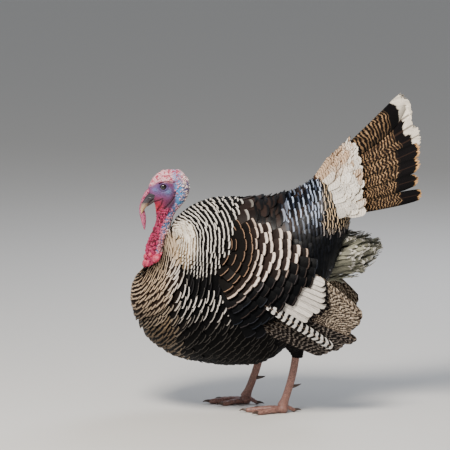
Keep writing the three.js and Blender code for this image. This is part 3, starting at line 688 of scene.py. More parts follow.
# %% [markdown]
# ### Skin mesh
# Head, neck and trunk share one grid. Legs and thighs join it as closed tubes that run up inside it.

# %% Skin piece
neck_end = neck_count * SKIN_COLUMNS
trunk = closed_rings(skin_points)
knob_forms = [closed_tube(rings[::-1]) for rings in knob_rings]
forms = [trunk] + leg_soft + thigh_skin + knob_forms
offsets = np.cumsum([0] + [len(points) for points, _ in forms[:-1]])
points = np.vstack([p for p, _ in forms])
quads = np.vstack([q + o for (_, q), o in zip(forms, offsets)])
kinds = np.concatenate([np.full(len(q), k) for (_, q), k in zip(
    forms, [0] + [2] * len(leg_soft) + [1] * len(thigh_skin) + [0] * len(knob_forms))])
kinds[neck_end: (skin_points.shape[0] - 1) * SKIN_COLUMNS] = 1
knobs_from = offsets[1 + len(leg_soft) + len(thigh_skin)]
looks = {"paint": np.tile(colour(PALETTE["hidden"]), (len(points), 1)), "blotch": np.zeros(len(points)),
         "wrinkle": np.zeros(len(points))}
for label, bare, grape in (("paint", paint, colour(PALETTE["grape"])), ("blotch", blotch, 0.25),
                           ("wrinkle", wrinkle, 0)):
    looks[label][:neck_end], looks[label][knobs_from:] = bare, grape
looks["paint"][len(trunk[0]) - 2] = paint[0]

FLESH = ["mantle", "breast", "belly", "back", "rump", "head", "neck", "dewlap", "caruncles", "thigh_left"]
FLESH += [f"{part}_{side}" for part in ("shank", "foot") for side in LEGS]
FLESH += [f"toe_{side}_{toe}" for side in LEGS for toe in TOES]
skin = build("skin", points, quads, [skin_material, under_coat_shade_material, scale_material], "neck_skin",
             FLESH, looks)
skin.data.polygons.foreach_set("material_index", kinds[: len(skin.data.polygons)])

for part, form in horn_parts.items():
    build(part + "_horn", *form, [claw_material], "claw_horn", [part])

# %% [markdown]
# ## Eyes
# The eye is a dark brown ball, glossy and wet. The lids are part of the skin and close round it, so about
# two thirds of its width shows.

# %% Eyes
eye_material, tree, surface = new_material("eye", Roughness=0.06, IOR=1.38, Coat_Weight=1.0, Coat_Roughness=0.03)
place = add(tree, "TexCoord", output="Object")
centre = add(tree, "VectorMath", {0: place, 1: tuple(EYE * MM)}, operation="SUBTRACT")
flatten = add(tree, "VectorMath", {0: centre, 1: (1, 0, 1)}, operation="MULTIPLY")
reach = add(tree, "VectorMath", {0: flatten}, output="Value", operation="LENGTH")
share = add(tree, "Math", {0: reach, 1: 8 * MM}, operation="DIVIDE")
rings = [(0.0, "030202"), (0.55, "060403"), (0.66, "26140B"), (0.95, "120A06")]
fill(tree, surface, {"Base Color": add(tree, "ValToRGB", {0: share}, stops=rings)})
ball = globe(18, 32, 0.05)[0][:, ::-1, [0, 2, 1]]
for side_name, leg in LEGS.items():
    centre = EYE * (1, leg["sign"], 1)
    build(f"eyeball_{side_name}", *closed_tube(centre + EYE_BALL * ball), [eye_material], "eye",
          [f"eye_{side_name}"])

# %% [markdown]
# ## Bill
# The bill is short, strong and hooked: the upper half overhangs the lower. It is dark horn at the root
# and pale at the tip, with a slit nostril near the forehead.

# %% Bill material
bill_material, tree, surface = new_material("bill horn", Roughness=0.33, IOR=HORN_IOR)
place = add(tree, "TexCoord", output="Object")
down = add(tree, "SeparateXYZ", {0: place}, output="Z")
tip_share = add(tree, "MapRange", {"Value": down, "From Min": 0.534, "From Max": 0.496})
streak = surface_noise(tree, 5, stretch=(1, 1, 0.3))
mixed = add(tree, "Math", {0: streak, 1: 0.22, 2: tip_share}, operation="MULTIPLY_ADD")
horn = [(0.12, "2C282E"), (0.42, "3C363C"), (0.62, "A38C74"), (0.95, "CDA778")]
fill(tree, surface, {"Base Color": add(tree, "ValToRGB", {0: mixed}, stops=horn)})

# %% Bill halves
# columns: x, z, half depth, half width
BILL_UPPER = [(-290, 544, 13, 15), (-301, 541, 13, 13.5), (-311, 535, 12, 11.5), (-319, 526, 10, 9.3),
              (-326, 515, 7.5, 7), (-330.5, 504, 4.6, 4.8), (-332.5, 494, 1.2, 1.6)]
BILL_LOWER = [(-286, 531, 5.5, 12), (-296, 530, 5.5, 10.5), (-304, 526, 4.6, 8.6), (-311, 520, 3.6, 6.6),
              (-316, 515, 2.2, 4), (-318, 512, 0.8, 1.4)]
NOSTRIL = (-309, 537)


def bill_half(table, rows, keel):
    """An arched tube: sections up = depth sin v, sharpened toward the ridge by keel, across = width cos v."""
    row = through(table, np.linspace(0, len(table) - 1, rows))
    v = 2 * np.pi * np.arange(40) / 40
    path = np.stack([row[:, 0], 0 * row[:, 0], row[:, 1]], axis=1)
    along = np.gradient(path, axis=0)
    along /= np.linalg.norm(along, axis=1, keepdims=True)
    up = np.stack([along[:, 2], 0 * row[:, 0], -along[:, 0]], axis=1)
    width = np.cos(v) * (1 - keel * np.clip(np.sin(v), 0, 1) ** 2)
    return (path[:, None] + up[:, None] * (row[:, 2:3] * np.sin(v))[..., None]
            + np.array([0, 1.0, 0]) * (row[:, 3:4] * width)[..., None])


upper = bill_half(BILL_UPPER, 60, 0.35)
nostril = hump(upper[..., 0] - NOSTRIL[0], 4.5) * hump(upper[..., 2] - NOSTRIL[1], 1.8)
upper[..., 1] -= np.sign(upper[..., 1]) * 2.6 * nostril * (np.abs(upper[..., 1]) > 3)
build("bill_upper_horn", *closed_tube(upper), [bill_material], "bill_horn", ["bill_upper"])
# dark horn of the lower half, partly its own colour and partly painted shade, so that the mouth's line reads as shade
lower_material, tree, surface = new_material("lower bill horn with painted shade", Roughness=0.4, IOR=HORN_IOR)
grain = surface_noise(tree, 5)
fill(tree, surface, {"Base Color": add(tree, "ValToRGB", {0: grain}, stops=[(0.3, "2A2428"), (0.7, "4A3E3C")])})
build("bill_lower_horn", *closed_tube(bill_half(BILL_LOWER, 40, -0.1)), [lower_material], "bill_horn",
      ["bill_lower"])

# %% [markdown]
# ## Snood
# The snood is a soft, wrinkled finger of skin from the root of the bill. It lies along the bill's ridge and
# hangs down past its tip. Its wrinkles are rings two to four millimetres apart, dotted with tiny warts.

# %% Snood
snood_material, tree, surface = new_material(
    "snood skin", Roughness=0.4, IOR=SKIN_IOR, Subsurface_Weight=0.15, Subsurface_Scale=0.004)
flush = [(0.30, "7E2E4C"), (0.5, "A85070"), (0.72, "CF8CA0")]
fill(tree, surface, {"Base Color": add(tree, "ValToRGB", {0: surface_noise(tree, 3.0)}, stops=flush)})
# columns: x, y, z, radius
SNOOD = [(-292, 0, 556, 5), (-303, 0, 556, 6.2), (-313, 0, 551, 6.6), (-321, 0, 542, 6.0), (-327, 1, 530, 5.4),
         (-331, 4, 518, 5.4), (-332.5, 7, 506, 6.2), (-330.5, 6, 493, 7.6), (-328, 4, 480, 7.0),
         (-326.5, 2, 466, 4.6), (-325, 0, 453, 1.0)]
row = through(SNOOD, np.linspace(0, len(SNOOD) - 1, 150))
ruck = 1 + 0.075 * np.sin(row[:, 2] * 2.1 + np.sin(row[:, 2] * 0.5) * 1.5)
snood_rings = tube(row[:, :3], np.stack([row[:, 3] * ruck * 0.95, row[:, 3] * ruck * 0.85], axis=1), 36,
                   hint=(0, 1.0, 0))
snood_flat = snood_rings.reshape(-1, 3)
snood_out = (snood_rings - row[:, None, :3]).reshape(-1, 3)
snood_out /= np.linalg.norm(snood_out, axis=1, keepdims=True)
dots = snood_flat[rng.choice(len(snood_flat), 260, replace=False)]
snood_flat, _ = beads(snood_flat, snood_out, dots, 1.0 + 0.7 * rng.random(260), np.full(260, 0.4))
build("snood_finger", *closed_tube(snood_flat.reshape(snood_rings.shape)), [snood_material], "snood_skin", ["snood"])

# %% [markdown]
# ## Feathers
# A feather is a thin, curved vane. It is planted on a surface at a root and runs over it in the direction
# of the lie, with its root sunk and its tip on top, as roof tiles lie. Along it t goes from 0 at the root to
# 1 at the tip, and across it s goes from -1 to 1. The rounded tip is made by shortening the sides, so that
# bars at one t follow the tip's outline, as real bars do.

# %% Vanes
def unit(a):
    """Vectors divided by their lengths."""
    return a / np.maximum(np.linalg.norm(a, axis=-1, keepdims=True), 1e-12)


def slopes(surface, u, v):
    """The surface's slopes along u and v and its outward normal."""
    e = 1e-3
    along = (surface(u + e, v) - surface(u - e, v)) / (2 * e)
    across = (surface(u, v + e) - surface(u, v - e)) / (2 * e)
    return along, across, unit(np.cross(across, along))


def vanes(surface, u, v, aim, length, width, root=-9.0, tip=1.0, stand=0.0, roll=0.0, camber=0.07, round_tip=0.34,
          taper=0.12, rows=7, columns=9, fray=0.0, shift=0.0, outward=1, seed=1, ruffle=0.07):
    """n vanes as points (n, rows, columns, 3) with their t and s.
    point = surface(root + t length aim + s width side) + normal (root (1-t) + tip t + arch + roll s + stand t²)"""
    rng = np.random.default_rng(seed)
    count = len(u)
    length, width, root, tip, stand, roll, shift, round_tip, ruffle = (
        np.broadcast_to(np.asarray(a, float), count)[:, None, None]
        for a in (length, width, root, tip, stand, roll, shift, round_tip, ruffle))
    length = length * (1 + ruffle * rng.normal(size=(count, 1, 1)))
    width = width * (1 + 0.8 * ruffle * rng.normal(size=(count, 1, 1)))
    roll = roll + 6 * ruffle * rng.normal(size=(count, 1, 1))
    along, across, normal = slopes(surface, u, v)
    normal = normal * outward
    lie = unit(aim - (aim * normal).sum(-1, keepdims=True) * normal)
    side = np.cross(normal, lie)
    t = np.linspace(0, 1, rows)[None, :, None]
    s = np.linspace(-1, 1, columns)[None, None, :]
    ends = round_tip * width * (1 - np.sqrt(1 - 0.96 * s**2)) * t**2
    if fray:
        ends = ends + fray * rng.random((count, 1, columns)) * t**10
    reach = t * length - ends
    half = width * (0.55 + 0.45 * smooth_step(0, 0.3, t)) * (1 - taper * t**5)
    step_along, step_side = reach + 0 * s, s * half + shift * t**2
    metric = np.stack([(along**2).sum(-1), (along * across).sum(-1), (across**2).sum(-1)], axis=-1)
    det = np.maximum(metric[:, 0] * metric[:, 2] - metric[:, 1] ** 2, 1e-6)

    def steps(direction):
        a, b = (direction * along).sum(-1), (direction * across).sum(-1)
        return ((metric[:, 2] * a - metric[:, 1] * b) / det, (metric[:, 0] * b - metric[:, 1] * a) / det)

    (lu, lv), (su, sv) = steps(lie), steps(side)
    at_u = u[:, None, None] + step_along * lu[:, None, None] + step_side * su[:, None, None]
    at_v = v[:, None, None] + step_along * lv[:, None, None] + step_side * sv[:, None, None]
    rise = (root * (1 - t) ** 1.3 + tip * t + camber * width * (1 - s**2) * (0.4 + 0.6 * t)
            + roll * s + stand * t**2)
    points = drape(surface, at_u, at_v, rise * outward)
    return points, np.broadcast_to(t, rise.shape), np.broadcast_to(s, rise.shape)


LOOK_SIZES = {"ground": 4, "band": 4, "bars": 3, "gloss": 1, "ends": 3}
NO_ENDS = (2.0, 2.0, 2.0)


def coat(name, slot, material, vane_set, looks, replaced, bake, patch=(0.003, 0.003)):
    """Builds a coat piece. Each point knows its vane's t, s and seed, and the vane's looks, given once or per vane:
    ground and band colours, bars (start, period, share), gloss, and ends (where the dark end starts, where the
    pale tip starts, the tip's tan share). bake is the middle and patch the size of a vane's place in OFBake."""
    points, t, s = vane_set
    count, rows, columns = points.shape[:3]
    seeds = np.repeat(np.random.default_rng(3).random(count), rows * columns)
    attributes = {"vane": np.stack([t.ravel(), s.ravel(), seeds], axis=1)}
    for label, size in LOOK_SIZES.items():
        value = np.reshape(np.asarray(looks.get(label, NO_ENDS), float), (-1, size))
        attributes[label] = np.repeat(np.broadcast_to(value, (count, size)), rows * columns, axis=0)
    quads = grid_quads(rows, columns) + (np.arange(count) * rows * columns)[:, None, None]
    place = bake[:, None, None] + np.array(patch) * np.stack([s / 2, t - 0.5], axis=-1)
    build(name, points.reshape(-1, 3), quads.reshape(-1, 4), [material], slot, replaced, attributes,
          place.reshape(-1, 2))


def ring_bake(u, turn, reach):
    """The place of a root in OFBake: u over its reach, and the turn in whole turns."""
    return np.stack([u / reach, np.mod(turn / (2 * np.pi), 1)], axis=1)


# %% [markdown]
# ### Feather material
# All feathers share one chain of nodes. A bar is a share of each period along the feather past its start,
# nudged by noise along the slanting barbs, which also streak the colour. The gloss of turkey feathers comes
# from thin layers in the barbs. Here it is a thin clear coat over black, with less roughness where the gloss
# value is high.

# %% Feather material
def feather_material(name, shaft="", edge_noise=0.05, wave=0.0, broken=0.0, coat_weight=0.015, sheen_level=0.06,
                     rim=1.0):
    """A barred feather: mix(ground, band, bar mask) shaded by barb streaks, with an optional shaft line.
    rim is how bright the vane's edges stay under a painted shade that parts feathers lying side by side."""
    material, tree, surface = new_material(name, IOR=HORN_IOR, Coat_Roughness=0.30, Coat_Weight=coat_weight,
                                           Specular_IOR_Level=sheen_level)
    vane, ground, band, bars, ends, gloss = (
        add(tree, "Attribute", output=output, attribute_name=label)
        for label, output in (("vane", "Vector"), ("ground", "Color"), ("band", "Color"), ("bars", "Vector"),
                              ("ends", "Vector"), ("gloss", "Fac")))
    t, s, seed = add(tree, "SeparateXYZ", {0: vane}).node.outputs
    start, period, share = add(tree, "SeparateXYZ", {0: bars}).node.outputs
    dark_from, pale_from, tan = add(tree, "SeparateXYZ", {0: ends}).node.outputs

    def vane_noise(along, stretch, detail=2.0):
        """Noise over (along, s, seed) times stretch, so that every vane has a pattern of its own."""
        place = add(tree, "CombineXYZ", {0: along, 1: s, 2: seed})
        place = add(tree, "VectorMath", {0: place, 1: stretch}, operation="MULTIPLY")
        return add(tree, "TexNoise", {"Vector": place, "Scale": 1.0, "Detail": detail})

    off_shaft = add(tree, "Math", {0: s}, operation="ABSOLUTE")
    slant = add(tree, "Math", {0: off_shaft, 1: -0.22, 2: t}, operation="MULTIPLY_ADD")
    barb = vane_noise(slant, (34.0, 1.3, 91.0))
    slow = vane_noise(t, (5.0, 1.6, 57.0), 1.0)
    nudged = t
    for wander, amount in ((barb, edge_noise), (slow, 0.05 + wave)):
        wander = add(tree, "Math", {0: wander, 1: 0.5}, operation="SUBTRACT")
        nudged = add(tree, "Math", {0: wander, 1: amount, 2: nudged}, operation="MULTIPLY_ADD")

    # the bar mask: it rises at each period's start, falls after the share, and begins past the first start
    past = add(tree, "Math", {0: nudged, 1: start}, operation="SUBTRACT")
    turn = add(tree, "Math", {0: past, 1: period}, operation="DIVIDE")
    turn = add(tree, "Math", {0: turn}, operation="FRACT")
    fall_end = add(tree, "Math", {0: share, 1: 1.25}, operation="MULTIPLY")
    rising = add(tree, "MapRange", {"Value": turn, "From Max": 0.08}, interpolation_type="SMOOTHSTEP")
    falling = add(tree, "MapRange", {"Value": turn, "From Min": share, "From Max": fall_end, "To Min": 1.0,
                                     "To Max": 0.0}, interpolation_type="SMOOTHSTEP")
    begun = add(tree, "MapRange", {"Value": past, "From Max": 0.02})
    mask = add(tree, "Math", {0: rising, 1: falling}, operation="MULTIPLY")
    mask = add(tree, "Math", {0: mask, 1: begun}, operation="MULTIPLY")
    if broken:
        patch = vane_noise(t, (24.0, 3.0, 23.0))
        kept = add(tree, "MapRange", {"Value": patch, "From Min": 0.42, "From Max": 0.56, "To Min": 1 - broken})
        mask = add(tree, "Math", {0: mask, 1: kept}, operation="MULTIPLY")
    mixed = add(tree, "Mix", {0: mask, 6: ground, 7: band}, output=2, data_type="RGBA")

    # the dark end, then the pale or tan tip
    tip_colour = add(tree, "Mix", {0: tan, 6: colour("EFE4D2"), 7: colour("C79A68")}, output=2, data_type="RGBA")
    for place, soft, shade in ((dark_from, 0.012, colour("0B0809")), (pale_from, 0.015, tip_colour)):
        beyond = add(tree, "Math", {0: nudged, 1: place}, operation="SUBTRACT")
        beyond = add(tree, "MapRange", {"Value": beyond, "From Max": soft})
        mixed = add(tree, "Mix", {0: beyond, 6: mixed, 7: shade}, output=2, data_type="RGBA")

    # barb streaks, each feather's own tone, painted shade on the vane edges and the shaft's line
    streak = add(tree, "MapRange", {"Value": barb, "From Min": 0.25, "From Max": 0.75, "To Min": 0.66,
                                    "To Max": 1.12})
    tone = add(tree, "Math", {0: seed, 1: 0.34, 2: 0.83}, operation="MULTIPLY_ADD")
    own = add(tree, "Math", {0: streak, 1: tone}, operation="MULTIPLY")
    if rim < 1:
        edge = add(tree, "MapRange", {"Value": off_shaft, "From Min": 0.55, "From Max": 0.95, "To Min": 1.0,
                                      "To Max": rim})
        own = add(tree, "Math", {0: own, 1: edge}, operation="MULTIPLY")
    mixed = add(tree, "VectorMath", {0: mixed, 1: own}, operation="MULTIPLY")
    if shaft:
        line = add(tree, "MapRange", {"Value": off_shaft, "From Min": 0.03, "From Max": 0.07, "To Min": 0.7,
                                      "To Max": 0.0})
        mixed = add(tree, "Mix", {0: line, 6: mixed, 7: colour(shaft)}, output=2, data_type="RGBA")
    fill(tree, surface, {
        "Base Color": mixed,
        "Normal": add(tree, "Bump", {"Height": barb, "Distance": 0.35 * MM, "Strength": 0.8}),
        "Roughness": add(tree, "MapRange", {"Value": gloss, "To Min": 0.66, "To Max": 0.36})})
    return material


# %% Feather materials
body_feather = feather_material("body feather", edge_noise=0.035)
glossy_feather = feather_material("glossy back feather", edge_noise=0.035, coat_weight=0.08, sheen_level=0.1)
large_feather = feather_material("flight feather", shaft="8C7864", edge_noise=0.05, wave=0.07, broken=0.85)
barred_feather = feather_material("leading flight feather", shaft="8C7864", edge_noise=0.02)
# rim=0.25: the tail's vane edges are darkened as painted shade between the feathers
tail_feather = feather_material("tail feather", shaft="2E2019", edge_noise=0.04, wave=0.05, broken=0.7, rim=0.25)
bar_feather = feather_material("white wing bar feather", shaft="5E5650", edge_noise=0.03)
print("materials", len(bpy.data.materials))

# %% [markdown]
# ## Body coat
# Rows of feathers lie along the body's rings, close on the neck's foot and wide on the back. Every second
# row starts half a feather on, as roof tiles do. Each region has its own sizes, colours and bars, chosen by
# where a root lies.

# %% Rows along the rings


# the turn at which the distance between rings is measured
FLANK_TURN = 1.1


def arc_spacing(u):
    """Distance in mm between rings per unit of u, on the side of the bird."""
    e = 0.02
    gap = body_surface(u + e, FLANK_TURN) - body_surface(u - e, FLANK_TURN)
    return np.linalg.norm(gap, axis=-1) / (2 * e)


# distance between rows in mm, at each ring from the neck back: over the back, and over breast and belly
UPPER_GAP = np.array([4, 4.5, 5.2, 6.2, 7.2, 8.2, 9.2, 10.5, 12, 13, 13.5, 13.5, 13, 12.5, 12, 12, 11.5, 11])
LOWER_GAP = np.array([5.5, 6.5, 7.5, 8.5, 10, 12, 13.5, 14.5, 15.5, 16, 16.5, 16.5, 16, 16, 15, 14, 13, 12])


def spread(line, spacing, row, least=1):
    """Even places along a line of points, half a step on in odd rows, with the line's running length."""
    run = np.concatenate([[0], np.cumsum(np.linalg.norm(np.diff(line, axis=0), axis=1))])
    number = max(least, int(run[-1] / spacing))
    return (np.arange(number) + 0.5 * (row % 2)) / number * run[-1], run


DENSE_TURN = np.linspace(0, 2 * np.pi, 721)
FIRST_ROW, LAST_ROW = 0.02, RING_COUNT - 0.35
print("rows", LOWER_GAP.min(), "to", LOWER_GAP.max(), "mm apart on the breast and belly")


def body_lattice(gaps):
    """Roots in rows along the rings: ring place u, turn, and the distance between rows."""
    u_now, row, found = FIRST_ROW, 0, []
    while u_now < LAST_ROW:
        gap = float(np.interp(u_now, np.arange(len(gaps)), gaps))
        place, run = spread(body_surface(u_now, DENSE_TURN), 1.2 * gap + 1.5, row, least=8)
        found.append(np.stack([0 * place + u_now, np.interp(place, run, DENSE_TURN), 0 * place + gap]))
        u_now, row = u_now + gap / float(arc_spacing(np.array(u_now))), row + 1
    u, turn, gap = np.concatenate(found, axis=1)
    shake = np.random.default_rng(11).normal(size=(2, len(u)))
    u = np.clip(u + 0.05 * shake[0] * gap / arc_spacing(u), 0.0, RING_COUNT - 0.4)
    return np.stack([u, turn + 0.012 * shake[1], gap])


# %% [markdown]
# ### Arcs over the mantle
# Over the mantle the rows are arcs about a point at the side of the neck's foot, wider apart farther out.
# Below that point the arcs straighten and hang down. The mantle's lower edge is a line in side view, and
# the two kinds of row meet there.

# %% Mantle rows
MANTLE_CENTRE = (-243, 438)
HANG = 0.25
# the radius of the first arc and where they stop, and the distance between rows: at the centre and per mm
FIRST_ARC, LAST_ARC = 7.0, 215
ARC_GAP, ARC_GAP_GROWTH = 3.5, 0.066
# the mantle ends behind at this x, and its lower edge runs through these x and z
MANTLE_END = -115
MANTLE_EDGE = ([-285, -262, -235, -205, -180, -158, -138, -122, -112],
               [400, 388, 368, 358, 360, 376, 405, 455, 520])


def arc_reach(at):
    """reach = hypot(dx, dz), with dz shrunk below the centre, and the direction in which it grows."""
    dx, dz = at[..., 0] - MANTLE_CENTRE[0], at[..., 2] - MANTLE_CENTRE[1]
    shrink = np.where(dz > 0, 1.0, HANG)
    return np.hypot(dx, dz * shrink), unit(np.stack([dx, 0 * dx, dz * shrink**2], axis=-1))


def mantle_lattice():
    """Roots on the arcs reach = radius of the body surface: u, turn and row distance."""
    dense_u = np.linspace(0, 10, 301)
    at = body_surface(*np.meshgrid(dense_u, DENSE_TURN, indexing="ij"))
    reach = np.minimum.accumulate(arc_reach(at)[0][::-1], axis=0)[::-1]
    radius, row, found = FIRST_ARC, 0, []
    while radius < LAST_ARC:
        gap = ARC_GAP + ARC_GAP_GROWTH * radius
        row_u = np.array([np.interp(radius, column, dense_u) for column in reach.T])
        place, run = spread(body_surface(row_u, DENSE_TURN), 1.3 * gap + 1.5, row)
        turn = np.interp(place, run, DENSE_TURN)
        on_arc = np.interp(place, run, reach[0] < radius - 1) > 0.5
        found.append(np.stack([np.interp(turn, DENSE_TURN, row_u), turn, 0 * place + gap])[:, on_arc])
        radius, row = radius + gap, row + 1
    return np.concatenate(found, axis=1)


def mantle_rise(at):
    """How far a place lies above the mantle's lower edge, in mm."""
    return at[:, 2] - np.interp(at[:, 0], *MANTLE_EDGE)


def on_mantle(at, u, margin):
    """True where the arcs lie; a margin in mm lets them run under the feathers of the throat's side."""
    at_centre = np.hypot(at[:, 0] - MANTLE_CENTRE[0], at[:, 2] - MANTLE_CENTRE[1]) < 16 - margin
    streaked = (at[:, 0] < -250 - margin) & (at[:, 2] < 434 - margin) & (u < 5) | at_centre
    return (at[:, 0] < MANTLE_END) & (mantle_rise(at) > -3) & ~streaked


# %% Roots of the body feathers
# how far the arcs run under the feathers of the throat's side, in mm
ARC_MARGIN = 12
kept = []
for lattice, is_upper in ((body_lattice(UPPER_GAP), True), (body_lattice(LOWER_GAP), False)):
    at = body_surface(lattice[0], lattice[1])
    upper_side = (at[:, 0] > MANTLE_END) & (at[:, 2] > 300 + 0.35 * at[:, 0])
    kept.append(lattice[:, ~on_mantle(at, lattice[0], 0) & (upper_side == is_upper)])
arcs = mantle_lattice()
arcs = arcs[:, on_mantle(body_surface(arcs[0], arcs[1]), arcs[0], ARC_MARGIN)]
root_u, root_turn, root_gap = np.concatenate([arcs] + kept, axis=1)
on_arcs = np.arange(len(root_u)) < arcs.shape[1]
noise = np.random.default_rng(12).normal(size=(6, len(root_u)))
round_way = np.abs(np.mod(root_turn + np.pi, 2 * np.pi) - np.pi)
root_at = body_surface(root_u, root_turn)
along, across, normal = slopes(body_surface, root_u, root_turn)
ring_line = unit(across)
body_aim = unit(along - (along * ring_line).sum(-1, keepdims=True) * ring_line)
body_aim = np.where(on_arcs[:, None], arc_reach(root_at)[1], body_aim)
RX, RZ = root_at[:, 0], root_at[:, 2]
print("body feathers", len(root_u))

# %% [markdown]
# ### Regions
# Seen from the side, the mantle is a cape that hangs from the back of the neck over the shoulder. Behind it
# lie the large shoulder feathers, the glossy back and the rusty end of the rump. Breast, flank and belly
# are black with thin pale arcs. Weights between 0 and 1 say how much a feather belongs to each. The two
# numbers of a smooth step are the places in millimetres where a weight is still 0 and where it is 1.

# %% Region weights
below_mantle = -mantle_rise(root_at)
in_mantle = smooth_step(7, -7, below_mantle) * smooth_step(-108, -122, RX)
from_nape = np.hypot(RX + 246, RZ - 428)
in_cream = smooth_step(1.25, 0.7, np.hypot((RX + 234) / 30, (RZ - 424) / 46)) * in_mantle
in_streaks = smooth_step(-248, -260, RX) * smooth_step(438, 420, RZ) * smooth_step(5.4, 4.4, root_u)
in_shoulder = smooth_step(-124, -112, RX) * smooth_step(-18, -36, RX) * smooth_step(385, 400, RZ)
in_rump_end = smooth_step(86, 102, RX) * smooth_step(445, 478, RZ)
in_back = smooth_step(-40, -20, RX) * smooth_step(250, 330, RZ - 0.35 * RX) * (1 - in_rump_end)
in_breast = smooth_step(-235, -300, RX + 8 * noise[2]) * smooth_step(-5, 20, below_mantle) * (1 - in_streaks)
# painted shade: the lower breast is darkened, ground and band
lower_breast_shade = smooth_step(290, 235, RZ) * in_breast
in_shade = smooth_step(-6, 6, below_mantle) * smooth_step(52, 30, below_mantle) * smooth_step(-262, -240, RX)
in_shade = in_shade * smooth_step(-118, -140, RX)
# under weighs the lower body, where the pale bands are darkened as painted shade
under = smooth_step(345, 240, RZ)
# painted shade: the lower back is darkened, ground and band
low_back_shade = in_back * smooth_step(478, 430, RZ - 0.25 * RX)
in_flank = smooth_step(245, 295, RZ) * smooth_step(-40, -90, RX) * smooth_step(-290, -250, RX)
in_flank = in_flank * (1 - in_mantle) * (1 - in_shade)
regions = {"mantle": in_mantle, "shoulder": in_shoulder, "back": in_back, "breast": in_breast, "flank": in_flank}
print("feathers mostly in", {name: int((weight > 0.5).sum()) for name, weight in regions.items()})

# %% [markdown]
# ### Colours and bars of the body feathers
# The ground of nearly every body feather is black, and its edge is a paler band. On the back that band is a painted
# blue-white highlight, the sky's gloss on each feather's edge. Each region lays its own colours over the ones before
# it. Most feathers have one bar near the tip, and breast and rump have several.

# %% Colours by region
count = len(root_u)
vary = 0.5 + 0.5 * np.sin(RX * 0.031 + 2 * np.sin(RZ * 0.043)) * np.cos(RZ * 0.027 + noise[2] * 0.4)
ground = layered(count, "030304", [
    ("090706", in_mantle), ("30231E", in_shoulder * (0.75 + 0.2 * noise[2])), ("090B12", in_back),
    ("35271F", in_back * smooth_step(0.55, 0.75, vary) * 0.8), ("2A1F19", in_streaks), ("17120F", in_breast),
    # the last two layers darken the lower breast and the lower back as painted shade
    ("A68E70", in_cream * 0.85), ("0B0A0B", lower_breast_shade), ("040507", low_back_shade)])
band = layered(count, "CFC4B6", [
    ("E9E2D8", in_mantle), ("EEE3D2", in_cream), ("CDB497", in_streaks), ("A08869", in_breast),
    # the blue-white band of the back is a painted highlight of the sky's gloss, dimmed in patches on the next line
    ("4A4038", lower_breast_shade * 0.8), ("08080A", in_shoulder), ("B9C8E4", in_back),
    ("3A4152", in_back * smooth_step(-0.2, 0.9, noise[1])), ("0D0F16", low_back_shade), ("D9BD98", in_rump_end),
    # painted shade: a dark grey band low on the body and just below the mantle
    ("2B292B", np.maximum(under * (1 - in_breast) * 0.85, in_shade)),
    ("E6DED6", in_flank * (1 - in_shoulder) * (1 - in_breast))])
print("colours of", count, "feathers")

# %% Bars and gloss by region
# a single bar near the tip: where it starts, the period past it, and how much of the period is band
outward_share = smooth_step(40, 130, from_nape)
pale_share = (0.14 + 0.10 * in_flank + (0.27 - 0.13 * outward_share) * in_mantle + 0.42 * in_cream
              + 0.22 * in_streaks + 0.10 * in_rump_end)
pale_share = pale_share + 0.03 - 0.04 * under - 0.03 * in_back
start = 0.975 - 0.37 * (pale_share + 0.10) + 0.012 * noise[3]
bars = np.stack([start, np.ones(count), 0.37 * pale_share], axis=1)
bars[in_shoulder > 0.5] = (0.86, 1.0, 0.2)
bars[in_breast > 0.5] = (0.34, 0.20, 0.40)
bars[(in_back > 0.5) & (in_rump_end <= 0.5)] = (0.75, 1.0, 0.13)
bars[in_rump_end > 0.5] = (0.60, 0.22, 0.34)
gloss = (0.2 + 0.65 * in_back * (1 - 0.6 * smooth_step(0.60, 0.8, vary)) + 0.55 * in_shoulder + 0.15 * under
         - 0.2 * in_breast - 0.2 * in_cream)
gloss = np.clip(gloss + 0.08 * noise[3], 0, 1)
print("bars run over", round(float(bars[:, 2].min()), 3), "to", round(float(bars[:, 2].max()), 3), "of a period")

# %% [markdown]
# ### Lie and size of the body feathers
# On breast and flank the feathers lie backward, steeper lower down, so that their pale edges stand upright.
# Where the body faces straight into that direction, down the middle of the breast, they follow the rings
# instead, so that no parting opens. The rings lie farther apart there, so these feathers are longer.

# %% Lie and size
slope_down = np.radians(np.interp(RZ, [120, 200, 270, 330], [52, 44, 22, 10]))
back_aim = np.stack([np.cos(slope_down), 0 * RX, -np.sin(slope_down)], axis=1)
ahead = smooth_step(0.70, 0.93, -(normal * back_aim).sum(axis=1))
stretch = 1 + ahead * (np.clip(np.linalg.norm(along, axis=1) / arc_spacing(root_u), 1, 4) - 1)
bars[in_breast > 0.5, 1] /= stretch[in_breast > 0.5]
length = root_gap * 2.7 * stretch * (1 + 0.9 * in_shoulder + 0.35 * in_breast)
width = (root_gap * 1.1 + 2.2) * np.sqrt(stretch)
width = width * (1 + 0.35 * in_shoulder - 0.20 * in_back - 0.12 * in_mantle - 0.3 * in_cream)
tip_round = 0.34 - 0.18 * in_mantle - 0.18 * (RX < -40) * (1 - in_mantle) * (1 - in_shoulder) - 0.12 * in_back
stand = 0.10 * root_gap + 0.8 * np.abs(noise[4]) * (1 - 0.6 * in_mantle) + 2.5 * in_shoulder * np.abs(noise[5])
lobe = 14 * smooth_step(-4, 50, -below_mantle) * smooth_step(-108, -150, RX) * smooth_step(0.8, 3.5, root_u)
lobe = lobe * smooth_step(0.25, 1.0, round_way)
body_root = -0.62 * root_gap - 9 * in_breast + lobe
body_tip = 0.5 + lobe
backward = smooth_step(-30, -90, RX) * smooth_step(4, 24, below_mantle) * (1 - on_arcs) * (1 - ahead)
body_aim = unit(body_aim + 2.0 * backward[:, None] * back_aim)
turned = in_streaks * (1 - on_arcs) * (1 - ahead)
stray = 0.04 * noise[:3].T * (1 - 0.5 * on_arcs[:, None])
body_aim = unit(body_aim + turned[:, None] * np.array([1.2, 0, -1.2]) + stray)
print("feathers", round(float(length.min())), "to", round(float(length.max())), "mm long")

